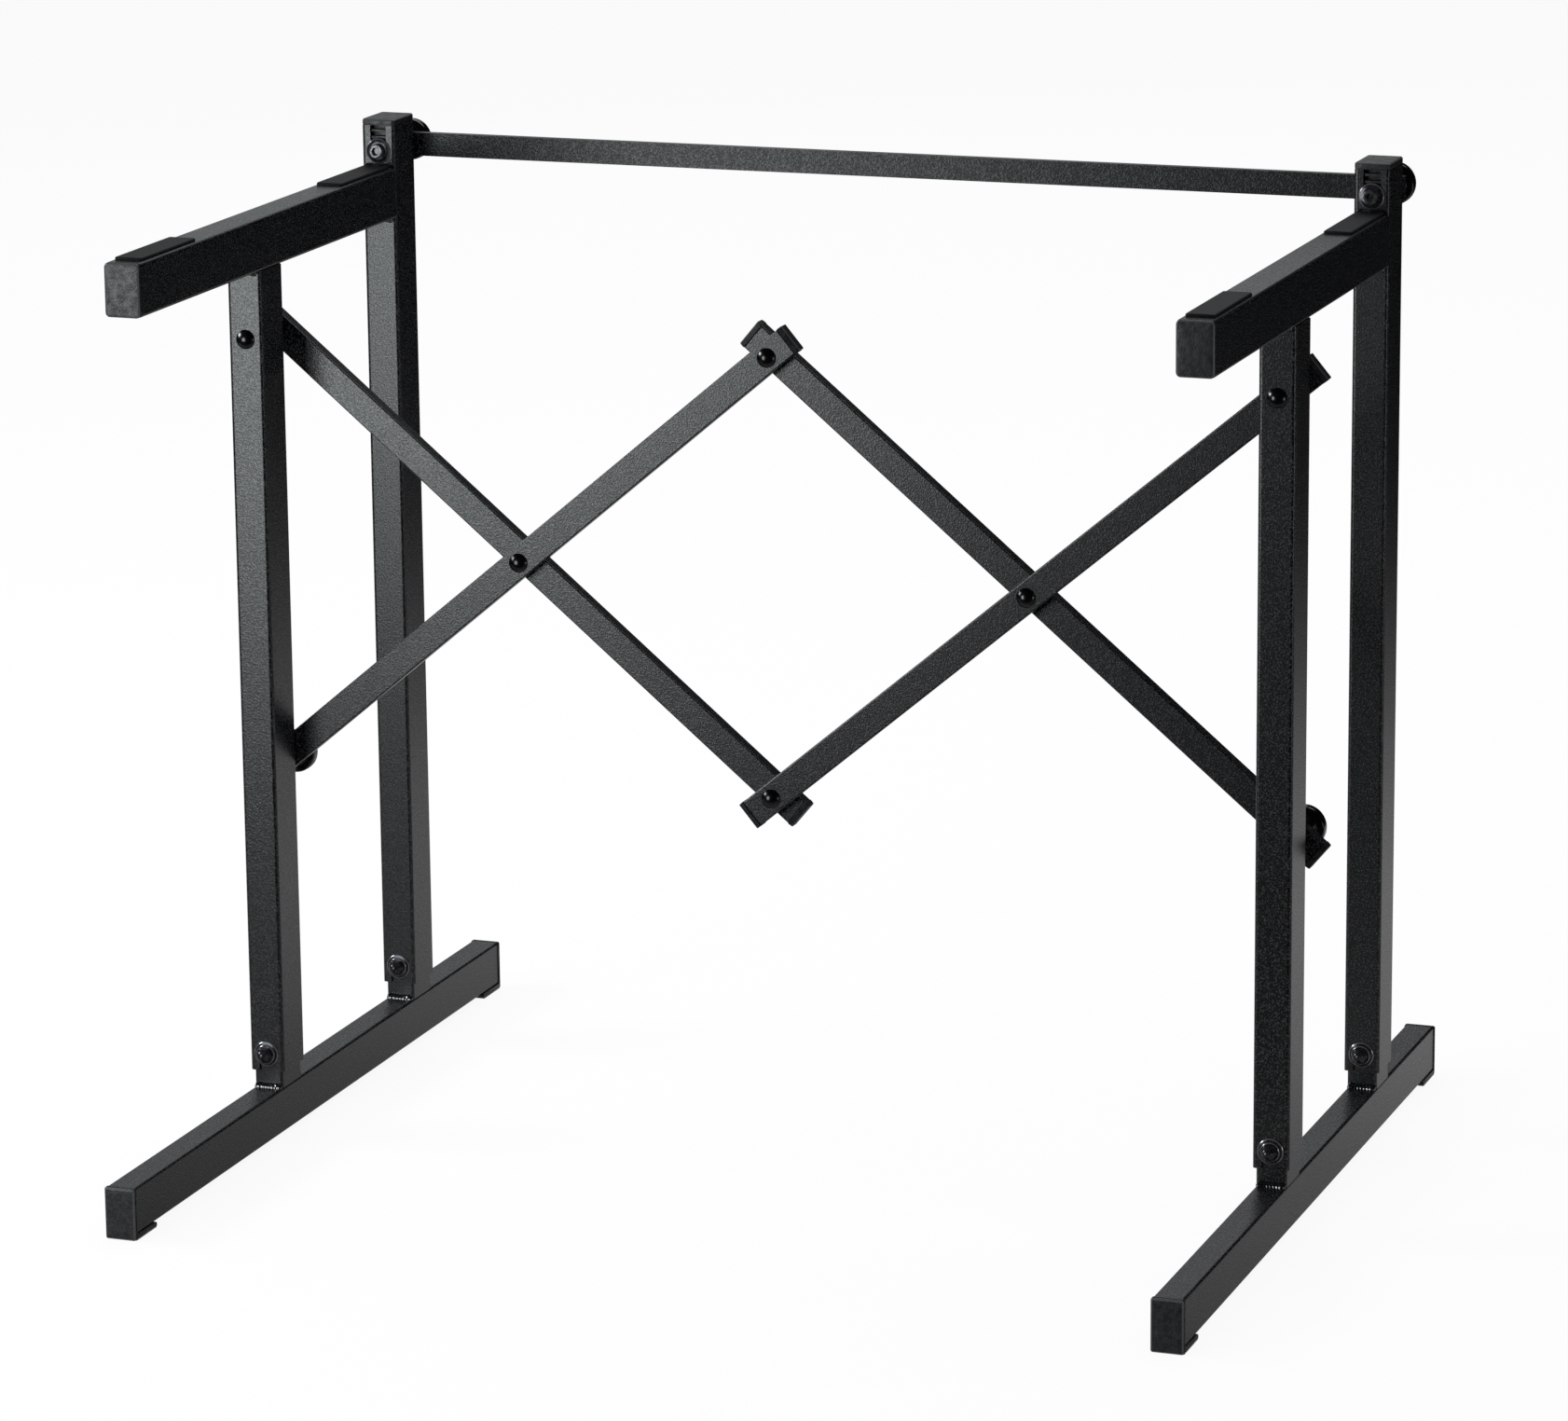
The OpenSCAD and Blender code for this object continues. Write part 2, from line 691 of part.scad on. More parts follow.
module left_pad_front() { color(rubber) at_side(-1) pad_shape(arm_front_y + pad_inset); }
module left_pad_rear() { color(rubber) at_side(-1) pad_shape(rear_face_y - pad_gap - pad_len); }
module left_rivet() { color(bright) at_side(-1) post_rivet_shape(rear_layer_y); }
module left_brace_bolt() { color(bright) at_side(-1) brace_bolt_shape(); }
module left_brace_knob() { color(plastic) at_side(-1) brace_knob_shape(); }
module left_slide_bolt() { color(bright) at_side(-1) slide_bolt_shape(front_layer_y); }
module left_slide_knob() { color(plastic) at_side(-1) slide_knob_shape(front_layer_y); }

module right_foot_tube() { color(steel) at_side(1) foot_tube_shape(); }
module right_leg_front() { color(steel) at_side(1) front_leg_shape(); }
module right_leg_rear() { color(steel) at_side(1) leg_shape(rear_post_y); }
module right_foot_cap_front() { color(plastic) at_side(1) foot_cap_shape(); }
module right_foot_cap_rear() { color(plastic) at_side(1) rotate([0, 0, 180]) foot_cap_shape(); }
module right_leg_bolt_front() { color(bright) at_side(1) leg_bolt_shape(front_post_y); }
module right_leg_bolt_rear() { color(bright) at_side(1) leg_bolt_shape(rear_post_y); }
module right_leg_nut_front() { color(bright) at_side(1) leg_nut_shape(front_post_y); }
module right_leg_nut_rear() { color(bright) at_side(1) leg_nut_shape(rear_post_y); }
module right_post_front() { color(steel) at_side(1) post_front_shape(); }
module right_post_rear() { color(steel) at_side(1) post_rear_shape(); }
module right_arm() { color(steel) at_side(1) arm_shape(); }
module right_arm_cap() { color(plastic) at_side(1) arm_cap_shape(); }
module right_top_cap() { color(plastic) at_side(1) top_cap_shape(); }
module right_pad_front() { color(rubber) at_side(1) pad_shape(arm_front_y + pad_inset); }
module right_pad_rear() { color(rubber) at_side(1) pad_shape(rear_face_y - pad_gap - pad_len); }
module right_rivet() { color(bright) at_side(1) post_rivet_shape(front_layer_y); }
module right_brace_bolt() { color(bright) at_side(1) brace_bolt_shape(); }
module right_brace_knob() { color(plastic) at_side(1) brace_knob_shape(); }
module right_slide_bolt() { color(bright) at_side(1) slide_bolt_shape(rear_layer_y); }
module right_slide_knob() { color(plastic) at_side(1) slide_knob_shape(rear_layer_y); }

module bar_ul() { color(steel) falling(-half_span, upper_pivot_z, rear_layer_y) bar_shape(); }
module bar_ll() { color(steel) rising(-half_span, lower_pivot_z, front_layer_y) bar_shape(); }
module bar_lr() { color(steel) falling(0, upper_pivot_z, rear_layer_y) bar_shape(); }
module bar_ur() { color(steel) rising(0, lower_pivot_z, front_layer_y) bar_shape(); }
module cap_ul_post() {
  color(plastic) falling(-half_span, upper_pivot_z, rear_layer_y) mirror([1, 0, 0]) bar_cap_shape();
}
module cap_ul_mid() { color(plastic) falling(0, lower_pivot_z, rear_layer_y) bar_cap_shape(); }
module cap_ll_post() {
  color(plastic) rising(-half_span, lower_pivot_z, front_layer_y) mirror([1, 0, 0]) bar_cap_shape();
}
module cap_ll_mid() { color(plastic) rising(0, upper_pivot_z, front_layer_y) bar_cap_shape(); }
module cap_lr_post() { color(plastic) falling(half_span, lower_pivot_z, rear_layer_y) bar_cap_shape(); }
module cap_lr_mid() {
  color(plastic) falling(0, upper_pivot_z, rear_layer_y) mirror([1, 0, 0]) bar_cap_shape();
}
module cap_ur_post() { color(plastic) rising(half_span, upper_pivot_z, front_layer_y) bar_cap_shape(); }
module cap_ur_mid() {
  color(plastic) rising(0, lower_pivot_z, front_layer_y) mirror([1, 0, 0]) bar_cap_shape();
}
module rivet_mid_upper() { color(bright) cross_rivet_shape(0, upper_pivot_z); }
module rivet_mid_lower() { color(bright) cross_rivet_shape(0, lower_pivot_z); }
module rivet_cross_left() { color(bright) cross_rivet_shape(-half_span / 2, cross_pivot_z); }
module rivet_cross_right() { color(bright) cross_rivet_shape(half_span / 2, cross_pivot_z); }
module brace() { color(steel) brace_shape(); }

left_foot_tube();
left_leg_front();
left_leg_rear();
left_foot_cap_front();
left_foot_cap_rear();
left_leg_bolt_front();
left_leg_bolt_rear();
left_leg_nut_front();
left_leg_nut_rear();
left_post_front();
left_post_rear();
left_arm();
left_arm_cap();
left_top_cap();
left_pad_front();
left_pad_rear();
left_rivet();
left_brace_bolt();
left_brace_knob();
left_slide_bolt();
left_slide_knob();
right_foot_tube();
right_leg_front();
right_leg_rear();
right_foot_cap_front();
right_foot_cap_rear();
right_leg_bolt_front();
right_leg_bolt_rear();
right_leg_nut_front();
right_leg_nut_rear();
right_post_front();
right_post_rear();
right_arm();
right_arm_cap();
right_top_cap();
right_pad_front();
right_pad_rear();
right_rivet();
right_brace_bolt();
right_brace_knob();
right_slide_bolt();
right_slide_knob();
bar_ul();
bar_ll();
bar_lr();
bar_ur();
cap_ul_post();
cap_ul_mid();
cap_ll_post();
cap_ll_mid();
cap_lr_post();
cap_lr_mid();
cap_ur_post();
cap_ur_mid();
rivet_mid_upper();
rivet_mid_lower();
rivet_cross_left();
rivet_cross_right();
brace();
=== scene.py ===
import json
import math

import bmesh
import bpy
from mathutils import Matrix, Vector


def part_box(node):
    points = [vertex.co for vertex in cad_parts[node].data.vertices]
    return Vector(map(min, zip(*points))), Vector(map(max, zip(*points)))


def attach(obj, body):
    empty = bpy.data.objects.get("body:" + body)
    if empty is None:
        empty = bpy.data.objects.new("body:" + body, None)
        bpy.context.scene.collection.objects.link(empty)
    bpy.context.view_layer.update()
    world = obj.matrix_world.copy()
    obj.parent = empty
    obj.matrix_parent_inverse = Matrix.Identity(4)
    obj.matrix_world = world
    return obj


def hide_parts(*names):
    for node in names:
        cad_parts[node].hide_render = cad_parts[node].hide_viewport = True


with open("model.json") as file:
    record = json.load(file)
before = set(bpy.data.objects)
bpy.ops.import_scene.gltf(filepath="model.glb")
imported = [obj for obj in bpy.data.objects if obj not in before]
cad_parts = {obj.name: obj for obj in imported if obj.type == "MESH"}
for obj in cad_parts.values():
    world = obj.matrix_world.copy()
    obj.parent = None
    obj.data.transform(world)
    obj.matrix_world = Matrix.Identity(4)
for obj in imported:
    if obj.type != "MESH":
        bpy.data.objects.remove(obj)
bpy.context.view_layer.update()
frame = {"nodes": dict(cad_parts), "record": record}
nodes = frame["nodes"]

# Camera
# It stands where the photograph was taken, to the right of the stand and above it, with a long lens. The
# photograph's lens was shifted; here the camera tilts instead, so that every other view is centred too.
EYE = Vector((1.4425, -3.9816, 1.3435))
HEADING, TILT, ROLL = math.radians(19.981), math.radians(13.646), math.radians(-0.57)
SENSOR_MM, LENS_MM = 36.0, 146.95
CLIP_NEAR, CLIP_FAR = 0.1, 200.0

camera = bpy.data.objects.new("camera", bpy.data.cameras.new("camera"))
bpy.context.scene.collection.objects.link(camera)
camera.data.sensor_width = SENSOR_MM
camera.data.lens = LENS_MM
camera.data.clip_start, camera.data.clip_end = CLIP_NEAR, CLIP_FAR
forward = Vector((-math.sin(HEADING) * math.cos(TILT), math.cos(HEADING) * math.cos(TILT), -math.sin(TILT)))
level = Vector((math.cos(HEADING), math.sin(HEADING), 0.0))
rise = level.cross(forward)
right = level * math.cos(ROLL) + rise * math.sin(ROLL)
up = rise * math.cos(ROLL) - level * math.sin(ROLL)
camera.matrix_world = Matrix.Translation(EYE) @ Matrix((right, up, -forward)).transposed().to_4x4()
bpy.context.scene.camera = camera
bpy.context.scene.view_settings.view_transform = "Standard"


# Studio
# A white seamless paper, five soft lamps, and black and grey cards that only reflections see, as for a
# catalogue picture of a black object.
def linear(hex_colour):
    """sRGB hex colour as linear RGBA."""
    values = [int(hex_colour[i:i + 2], 16) / 255 for i in (1, 3, 5)]
    return tuple(v / 12.92 if v <= 0.04045 else ((v + 0.055) / 1.055) ** 2.4 for v in values) + (1.0,)


def add(tree, kind, settings=(), **links):
    """Adds a shader node, sets its properties and sockets, and links its inputs by name or as _number."""
    node = tree.nodes.new(kind)
    for key, value in dict(settings).items():
        if isinstance(key, str) and hasattr(node, key):
            setattr(node, key, value)
        else:
            node.inputs[key].default_value = value
    for key, source in links.items():
        node_input = node.inputs[int(key[1:])] if key[0] == "_" else node.inputs[key.replace("_", " ")]
        tree.links.new(source, node_input)
    return node


def new_material(name):
    """Empty node material and its tree."""
    material = bpy.data.materials.new(name)
    material.use_nodes = True
    material.node_tree.nodes.clear()
    return material, material.node_tree


def sees_white(tree):
    """1 for a ray from the camera, a gloss or a glass, and 0 for a ray that carries light."""
    path = add(tree, "ShaderNodeLightPath")
    camera_ray, glossy_ray = path.outputs["Is Camera Ray"], path.outputs["Is Glossy Ray"]
    either = add(tree, "ShaderNodeMath", {"operation": "MAXIMUM"}, _0=camera_ray, _1=glossy_ray)
    glass_ray = path.outputs["Is Transmission Ray"]
    any_ray = add(tree, "ShaderNodeMath", {"operation": "MAXIMUM"}, _0=either.outputs[0], _1=glass_ray)
    return any_ray.outputs[0]


def stage_sheet(name, points, faces, material):
    """Sheet of the studio, which isn't part of the object."""
    mesh = bpy.data.meshes.new(name)
    mesh.from_pydata(points, [], faces)
    mesh.materials.append(material)
    sheet = bpy.data.objects.new(name, mesh)
    bpy.context.scene.collection.objects.link(sheet)
    return sheet


# The paper is lit like the object. It also glows for the camera and for reflections, so that it shows white.
PAPER_HALF = 14.0
PAPER_GLOW = 0.92  # share of plain white that the picture and reflections see, so the shadow stays faint
paper, tree = new_material("seamless_paper")
diffuse = add(tree, "ShaderNodeBsdfDiffuse", {"Color": linear("#e9e9e8")})
glow = add(tree, "ShaderNodeEmission", {"Color": linear("#ffffff"), "Strength": 1.0})
share = add(tree, "ShaderNodeMath", {"operation": "MULTIPLY", 1: PAPER_GLOW}, _0=sees_white(tree))
mix = add(tree, "ShaderNodeMixShader", (), Fac=share.outputs[0], _1=diffuse.outputs[0], _2=glow.outputs[0])
add(tree, "ShaderNodeOutputMaterial", (), Surface=mix.outputs[0])
corners = [(x * PAPER_HALF, y * PAPER_HALF, 0) for x, y in ((-1, -1), (1, -1), (1, 1), (-1, 1))]
stage_sheet("floor", corners, [(0, 1, 2, 3)], paper)

AMBIENT = 0.5  # strength of the even light that comes from all round
HORIZON = 0.955  # the paper's tone far away, so that no line shows where it ends
world = bpy.data.worlds.new("studio")
bpy.context.scene.world = world
world.use_nodes = True
tree = world.node_tree
tree.nodes.clear()
dim = add(tree, "ShaderNodeBackground", {"Color": linear("#ffffff"), "Strength": AMBIENT})
white = add(tree, "ShaderNodeBackground", {"Color": linear("#ffffff"), "Strength": HORIZON})
mix = add(tree, "ShaderNodeMixShader", (), Fac=sees_white(tree), _1=dim.outputs[0], _2=white.outputs[0])
add(tree, "ShaderNodeOutputWorld", (), Surface=mix.outputs[0])

LAMP_COLOUR = (0.94, 0.985, 1.0)  # a little cool, as in the photograph


def softbox(name, place, target, size, watts):
    """Rectangular lamp at place, turned to target, of size (width, height) in metres."""
    lamp = bpy.data.lights.new(name, "AREA")
    lamp.shape = "RECTANGLE"
    lamp.size, lamp.size_y = size
    lamp.energy = watts
    lamp.color = LAMP_COLOUR
    lamp_object = bpy.data.objects.new(name, lamp)
    bpy.context.scene.collection.objects.link(lamp_object)
    lamp_object.location = place
    lamp_object.rotation_euler = (Vector(target) - Vector(place)).to_track_quat("-Z", "Y").to_euler()
    lamp_object.visible_camera = False


# The key lamp shows in the faces that look forward and the rear lamp in those that look up. The others
# light edges and domes, and the top one makes the soft shadow.
softbox("key_softbox", (-1.0, -1.75, 0.42), (-0.3, 0.0, 0.3), (0.75, 0.95), 17.0)
softbox("rear_softbox", (-2.3, 3.6, 1.9), (0.0, 0.0, 0.3), (4.2, 3.0), 16.0)
softbox("top_softbox", (0.0, 2.0, 3.4), (0.0, 0.0, 0.3), (3.4, 2.0), 58.0)
softbox("left_softbox", (-2.4, -0.45, 1.4), (0.0, 0.0, 0.5), (1.1, 0.7), 42.0)
softbox("right_strip", (2.0, -0.8, 0.25), (0.3, 0.0, 0.4), (0.25, 0.6), 2.4)

# Black cards stand all round, hang overhead and lie on the paper. On the paper they leave a window, where
# a card lies that is graded from front to back. So the black coat looks black, and the sides that face
# right get lighter downwards, as in the photograph.
CARD_REACH, CARD_TOP, CARD_Z = 6.0, 5.0, 0.001
WINDOW_LOW, WINDOW_HIGH = (-1.4, -0.45), (2.2, 2.3)  # opposite corners
GRADES = [  # distance back from the middle of the stand, and tone of the graded card there
    (-0.45, "#5c5c5c"), (-0.25, "#808080"), (0.1, "#9a9a9a"), (0.39, "#bebebe"), (0.77, "#cacaca"),
    (1.16, "#aaaaaa"), (1.54, "#737373"), (1.93, "#303030"), (2.3, "#0a0a0a"),
]
black_card, tree = new_material("black_card")
black = add(tree, "ShaderNodeBsdfDiffuse", {"Color": linear("#0a0a0a")})
add(tree, "ShaderNodeOutputMaterial", (), Surface=black.outputs[0])
graded_card, tree = new_material("graded_card")
spot = add(tree, "ShaderNodeSeparateXYZ", (), Vector=add(tree, "ShaderNodeTexCoord").outputs["Object"])
window_y = {"From Min": WINDOW_LOW[1], "From Max": WINDOW_HIGH[1]}
way_back = add(tree, "ShaderNodeMapRange", window_y, Value=spot.outputs["Y"])
grade = add(tree, "ShaderNodeValToRGB", (), Fac=way_back.outputs[0])
ramp = grade.color_ramp.elements
ramp[0].color, ramp[1].color = linear(GRADES[0][1]), linear(GRADES[-1][1])
for y, tone in GRADES[1:-1]:
    ramp.new((y - WINDOW_LOW[1]) / (WINDOW_HIGH[1] - WINDOW_LOW[1])).color = linear(tone)
graded = add(tree, "ShaderNodeEmission", (), Color=grade.outputs["Color"])
add(tree, "ShaderNodeOutputMaterial", (), Surface=graded.outputs[0])

xs = (-CARD_REACH, WINDOW_LOW[0], WINDOW_HIGH[0], CARD_REACH)
ys = (-CARD_REACH, WINDOW_LOW[1], WINDOW_HIGH[1], CARD_REACH)
points = [(x, y, CARD_Z) for y in ys for x in xs]  # four rows of four, so the window is the middle square
squares = [(row + i, row + i + 1, row + i + 5, row + i + 4) for row in (0, 4, 8) for i in range(3)]
window = squares.pop(4)
top_corners = [(x, y, CARD_TOP) for x, y in ((xs[0], ys[0]), (xs[3], ys[0]), (xs[3], ys[3]), (xs[0], ys[3]))]
walls = [(0, 3, 17, 16), (3, 15, 18, 17), (15, 12, 19, 18), (12, 0, 16, 19)]
ceiling = (16, 17, 18, 19)
for card in (
    stage_sheet("black_cards", points + top_corners, squares + walls + [ceiling], black_card),
    stage_sheet("graded_card", points, [window], graded_card),
):
    card.visible_camera = card.visible_diffuse = card.visible_shadow = card.visible_transmission = False

# Welded steel
# Feet, legs, posts, arms, scissor bars and brace are drawn steel tube and flat bar. They are blasted and
# coated with black polyester powder that is baked on: satin, with a fine even orange-peel grain.
MM = 0.001
COAT_DARK, COAT_PALE, COAT_SPECKS = "#030402", "#323437", (0.5, 0.64)
COAT_GRAIN_MM = 1.1  # the real grain is about 0.5 mm, and is drawn coarser so that it shows in the picture
COAT_PEEL_MM = 0.13
COAT_GLOSS = {"From Min": 0.3, "From Max": 0.7, "To Min": 0.36, "To Max": 0.2}  # crests are the smoothest


def powder(name, shine):
    """Powder coat whose skin shines by a share from 0 to 1: near black, pale specks, a soft gloss."""
    material, tree = new_material(name)
    where = add(tree, "ShaderNodeTexCoord").outputs["Object"]
    fine = {"Scale": 1 / (COAT_GRAIN_MM * MM), "Detail": 1.5, "Roughness": 0.6}
    grain = add(tree, "ShaderNodeTexNoise", fine, Vector=where).outputs["Fac"]
    tone = add(tree, "ShaderNodeValToRGB", (), Fac=grain)
    low, high = tone.color_ramp.elements
    low.position, low.color = COAT_SPECKS[0], linear(COAT_DARK)
    high.position, high.color = COAT_SPECKS[1], linear(COAT_PALE)
    peel = add(tree, "ShaderNodeBump", {"Strength": 1.0, "Distance": COAT_PEEL_MM * MM}, Height=grain)
    gloss = add(tree, "ShaderNodeMapRange", COAT_GLOSS, Value=grain)
    coat = add(
        tree, "ShaderNodeBsdfPrincipled", {"Specular IOR Level": shine},
        Base_Color=tone.outputs["Color"], Roughness=gloss.outputs[0], Normal=peel.outputs["Normal"],
    )
    add(tree, "ShaderNodeOutputMaterial", (), Surface=coat.outputs[0])
    return material


# The frame takes on the grey of the paper. The brace was coated apart, and stays dark where the frame glows.
powder_coat = powder("powder_coated_steel", 0.5)
dull_coat = powder("dull_powder_coated_steel", 0.26)


def finish_cad(material, *names):
    """Gives CAD pieces their real finish."""
    for name in names:
        nodes[name].data.materials.clear()
        nodes[name].data.materials.append(material)


SIDES = ("left", "right")
for side in SIDES:
    finish_cad(powder_coat, side + "_foot_tube", side + "_leg_front", side + "_leg_rear")
    finish_cad(powder_coat, side + "_post_front", side + "_post_rear", side + "_arm")
finish_cad(powder_coat, "bar_ul", "bar_ll", "bar_lr", "bar_ur")
finish_cad(dull_coat, "brace")

# Weld beads
# Each leg is welded to its foot, and each arm to both posts, with a short rippled MIG bead before coating.
# The powder runs smooth on the bead, which shows sharp bright glints beside the satin tube.
WELD_COLOUR, WELD_SWIRL_MM, WELD_DIMPLE_MM = "#0c0d0e", 1.6, 0.1
weld_coat, tree = new_material("powder_coated_weld")
where = add(tree, "ShaderNodeTexCoord").outputs["Object"]
broad = {"Scale": 1 / (WELD_SWIRL_MM * MM), "Detail": 1.0}
swirl = add(tree, "ShaderNodeTexNoise", broad, Vector=where).outputs["Fac"]
skin = add(tree, "ShaderNodeBump", {"Strength": 0.3, "Distance": WELD_DIMPLE_MM * MM}, Height=swirl)
gloss = add(tree, "ShaderNodeMapRange", {"To Min": 0.08, "To Max": 0.2}, Value=swirl)
weld_shader = add(
    tree, "ShaderNodeBsdfPrincipled", {"Base Color": linear(WELD_COLOUR), "IOR": 1.9},
    Roughness=gloss.outputs[0], Normal=skin.outputs["Normal"],
)
add(tree, "ShaderNodeOutputMaterial", (), Surface=weld_shader.outputs[0])


def new_piece(name, bm, material, body, crease):
    """Turns a bmesh into a piece that rides on a body. Edges bent by more than crease degrees are sharp."""
    bmesh.ops.recalc_face_normals(bm, faces=bm.faces)
    mesh = bpy.data.meshes.new(name)
    bm.to_mesh(mesh)
    bm.free()
    mesh.shade_smooth()
    mesh.set_sharp_from_angle(angle=math.radians(crease))
    mesh.materials.append(material)
    piece = bpy.data.objects.new(name, mesh)
    bpy.context.scene.collection.objects.link(piece)
    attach(piece, body)
    return piece


PAINTED_GLINT = "painted_glint"  # mark on a face, 1 on a sloped edge band, where the materials paint a paler highlight


def skin_rings(bm, rings, glint_bands=()):
    """Closed skin over rings of equally many points, with both ends filled. Bands for a painted edge
    highlight are marked.
    """
    glint_mark = bm.faces.layers.float.get(PAINTED_GLINT) or bm.faces.layers.float.new(PAINTED_GLINT)
    loops = [[bm.verts.new(point) for point in ring] for ring in rings]
    count = len(loops[0])
    for band, (near, far) in enumerate(zip(loops, loops[1:])):
        for i in range(count):
            face = bm.faces.new((near[i], near[(i + 1) % count], far[(i + 1) % count], far[i]))
            face[glint_mark] = float(band in glint_bands)
    bm.faces.new(loops[0][::-1])
    bm.faces.new(loops[-1])


BEAD_STEP, BEAD_ARC = 0.4 * MM, 9
BEAD_RIPPLE, BEAD_END = 2.2 * MM, 2.4 * MM
BEAD_ROOT, BEAD_THIN, BEAD_SWELL = 0.15, 0.45, 0.16  # shares of size: root, end, and swell behind it
BEAD_LEAN = 0.35  # how far the ripples bend, as a share of their length
BEAD_VALLEY, BEAD_CREST = 0.9, 0.05  # shares of size: height between ripples, and what a ripple adds


def weld_bead(name, start, end, wall, ground, size, body):
    """Rippled fillet weld from start to end in the corner whose two legs run along wall and ground."""
    start, end, wall, ground = Vector(start), Vector(end), Vector(wall), Vector(ground)
    length = (end - start).length
    steps = int(length / BEAD_STEP)
    root = -(wall + ground) * BEAD_ROOT * size
    rings = []
    for step in range(steps + 1):
        along = step / steps
        spine = start.lerp(end, along)
        rest = min(along, 1 - along) * length
        taper = min(1.0, BEAD_THIN + (1 - BEAD_THIN) * math.sqrt(rest / (0.5 * BEAD_END)))
        swell = 1 + BEAD_SWELL * math.exp(-((rest - BEAD_END) / BEAD_END) ** 2)
        ring = [spine + root]
        for k in range(BEAD_ARC + 1):
            turn = math.pi / 2 * k / BEAD_ARC
            phase = along * length / BEAD_RIPPLE + BEAD_LEAN * math.cos(2 * turn)
            ripple = BEAD_VALLEY + BEAD_CREST * abs(math.sin(math.pi * phase))
            height = size * taper * swell * ripple
            ring.append(spine + (wall * math.cos(turn) + ground * math.sin(turn)) * height)
        rings.append(ring)
    bm = bmesh.new()
    skin_rings(bm, rings)
    return new_piece(name, bm, weld_coat, body, crease=80)


UP, DOWN, BACK, FRONT, RIGHT = (0, 0, 1), (0, 0, -1), (0, 1, 0), (0, -1, 0), (1, 0, 0)
LEG_BEAD, ARM_BEAD = 3.4 * MM, 3.0 * MM
LEG_BEAD_INSET, ARM_BEAD_INSET = 0.4 * MM, 2.4 * MM
for side in SIDES:
    foot_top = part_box(side + "_foot_tube")[1].z
    for end in ("front", "rear"):
        leg_low, leg_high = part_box(side + "_leg_" + end)
        for face, y, out in (("front", leg_low.y, FRONT), ("back", leg_high.y, BACK)):
            start = (leg_low.x + LEG_BEAD_INSET, y, foot_top)
            stop = (leg_high.x - LEG_BEAD_INSET, y, foot_top)
            weld_bead(f"{side}_weld_{end}_leg_{face}", start, stop, UP, out, LEG_BEAD, side + "_foot")
    arm_low, arm_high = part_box(side + "_arm")
    post_low, post_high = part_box(side + "_post_front")
    for name, y, z, wall, ground in (
        ("arm_top", arm_high.y, arm_high.z, UP, FRONT),
        ("arm_under", arm_high.y, arm_low.z, DOWN, FRONT),
        ("post_front", post_low.y, post_high.z, DOWN, FRONT),
        ("post_back", post_high.y, post_high.z, DOWN, BACK),
    ):
        start, stop = (arm_low.x + ARM_BEAD_INSET, y, z), (arm_high.x - ARM_BEAD_INSET, y, z)
        weld_bead(f"{side}_weld_{name}", start, stop, wall, ground, ARM_BEAD, side + "_frame")

# Foot caps
# An L-shaped polyamide cap is pushed into each end of a foot: an end plate with a sloped edge behind a
# narrow groove, and a sole under the tube that stands on the floor. Spark-eroded moulds make it matt.
# The last pale tone here is a highlight painted on the sloped edges of the caps.
NYLON_DARK, NYLON_PALE, NYLON_GLINT, NYLON_SPECKS = "#080909", "#27282a", "#404244", (0.4, 0.62)
NYLON_GRAIN_MM = 0.9  # the real texture is about 0.2 mm, and is drawn coarser so that it shows
NYLON_CLOUD_MM, NYLON_DIMPLE_MM = 5.0, 0.09
CLOUD_SHARE, CLOUD_RELIEF = 0.45, 4.0  # of the clouds against the grain: in the colour, and in the relief
NYLON_GLOSS = {"From Min": 0.35, "From Max": 0.65, "To Min": 0.55, "To Max": 0.28}  # pale spots shine most


def glint_painted_colour(tree, tone, glint_tone):
    """Colour that turns to a paler one on marked edge bands: a painted highlight."""
    glint_mark = add(tree, "ShaderNodeAttribute", {"attribute_name": PAINTED_GLINT}).outputs["Fac"]
    colours = {"data_type": "RGBA", 7: linear(glint_tone)}
    mixed = add(tree, "ShaderNodeMix", colours, _0=glint_mark, _6=tone.outputs["Color"])
    return mixed.outputs[2]


def polyamide(name, shine):
    """Moulded polyamide whose skin shines by a share from 0 to 1: mottled dark grey, matt, fine dimples."""
    material, tree = new_material(name)
    where = add(tree, "ShaderNodeTexCoord").outputs["Object"]
    fine = {"Scale": 1 / (NYLON_GRAIN_MM * MM), "Detail": 2.0}
    grain = add(tree, "ShaderNodeTexNoise", fine, Vector=where).outputs["Fac"]
    broad = {"Scale": 1 / (NYLON_CLOUD_MM * MM), "Detail": 3.0}
    cloud = add(tree, "ShaderNodeTexNoise", broad, Vector=where).outputs["Fac"]
    both = add(tree, "ShaderNodeMix", {"Factor": CLOUD_SHARE}, A=grain, B=cloud).outputs["Result"]
    tone = add(tree, "ShaderNodeValToRGB", (), Fac=both)
    low, high = tone.color_ramp.elements
    low.position, low.color = NYLON_SPECKS[0], linear(NYLON_DARK)
    high.position, high.color = NYLON_SPECKS[1], linear(NYLON_PALE)
    raised = {"operation": "MULTIPLY_ADD", 1: CLOUD_RELIEF}
    relief = add(tree, "ShaderNodeMath", raised, _0=cloud, _2=grain).outputs[0]
    dimples = add(tree, "ShaderNodeBump", {"Strength": 1.0, "Distance": NYLON_DIMPLE_MM * MM}, Height=relief)
    gloss = add(tree, "ShaderNodeMapRange", NYLON_GLOSS, Value=both)
    # Sloped edge bands get a paler colour, a painted highlight.
    plastic = add(
        tree, "ShaderNodeBsdfPrincipled", {"Specular IOR Level": shine},
        Base_Color=glint_painted_colour(tree, tone, NYLON_GLINT),
        Roughness=gloss.outputs[0], Normal=dimples.outputs["Normal"],
    )
    add(tree, "ShaderNodeOutputMaterial", (), Surface=plastic.outputs[0])
    return material


# The caps of the frame look greyer than its coat. Those of the bars are dull and as dark as the bars.
nylon = polyamide("moulded_black_polyamide", 0.4)
dull_nylon = polyamide("dull_black_polyamide", 0.18)

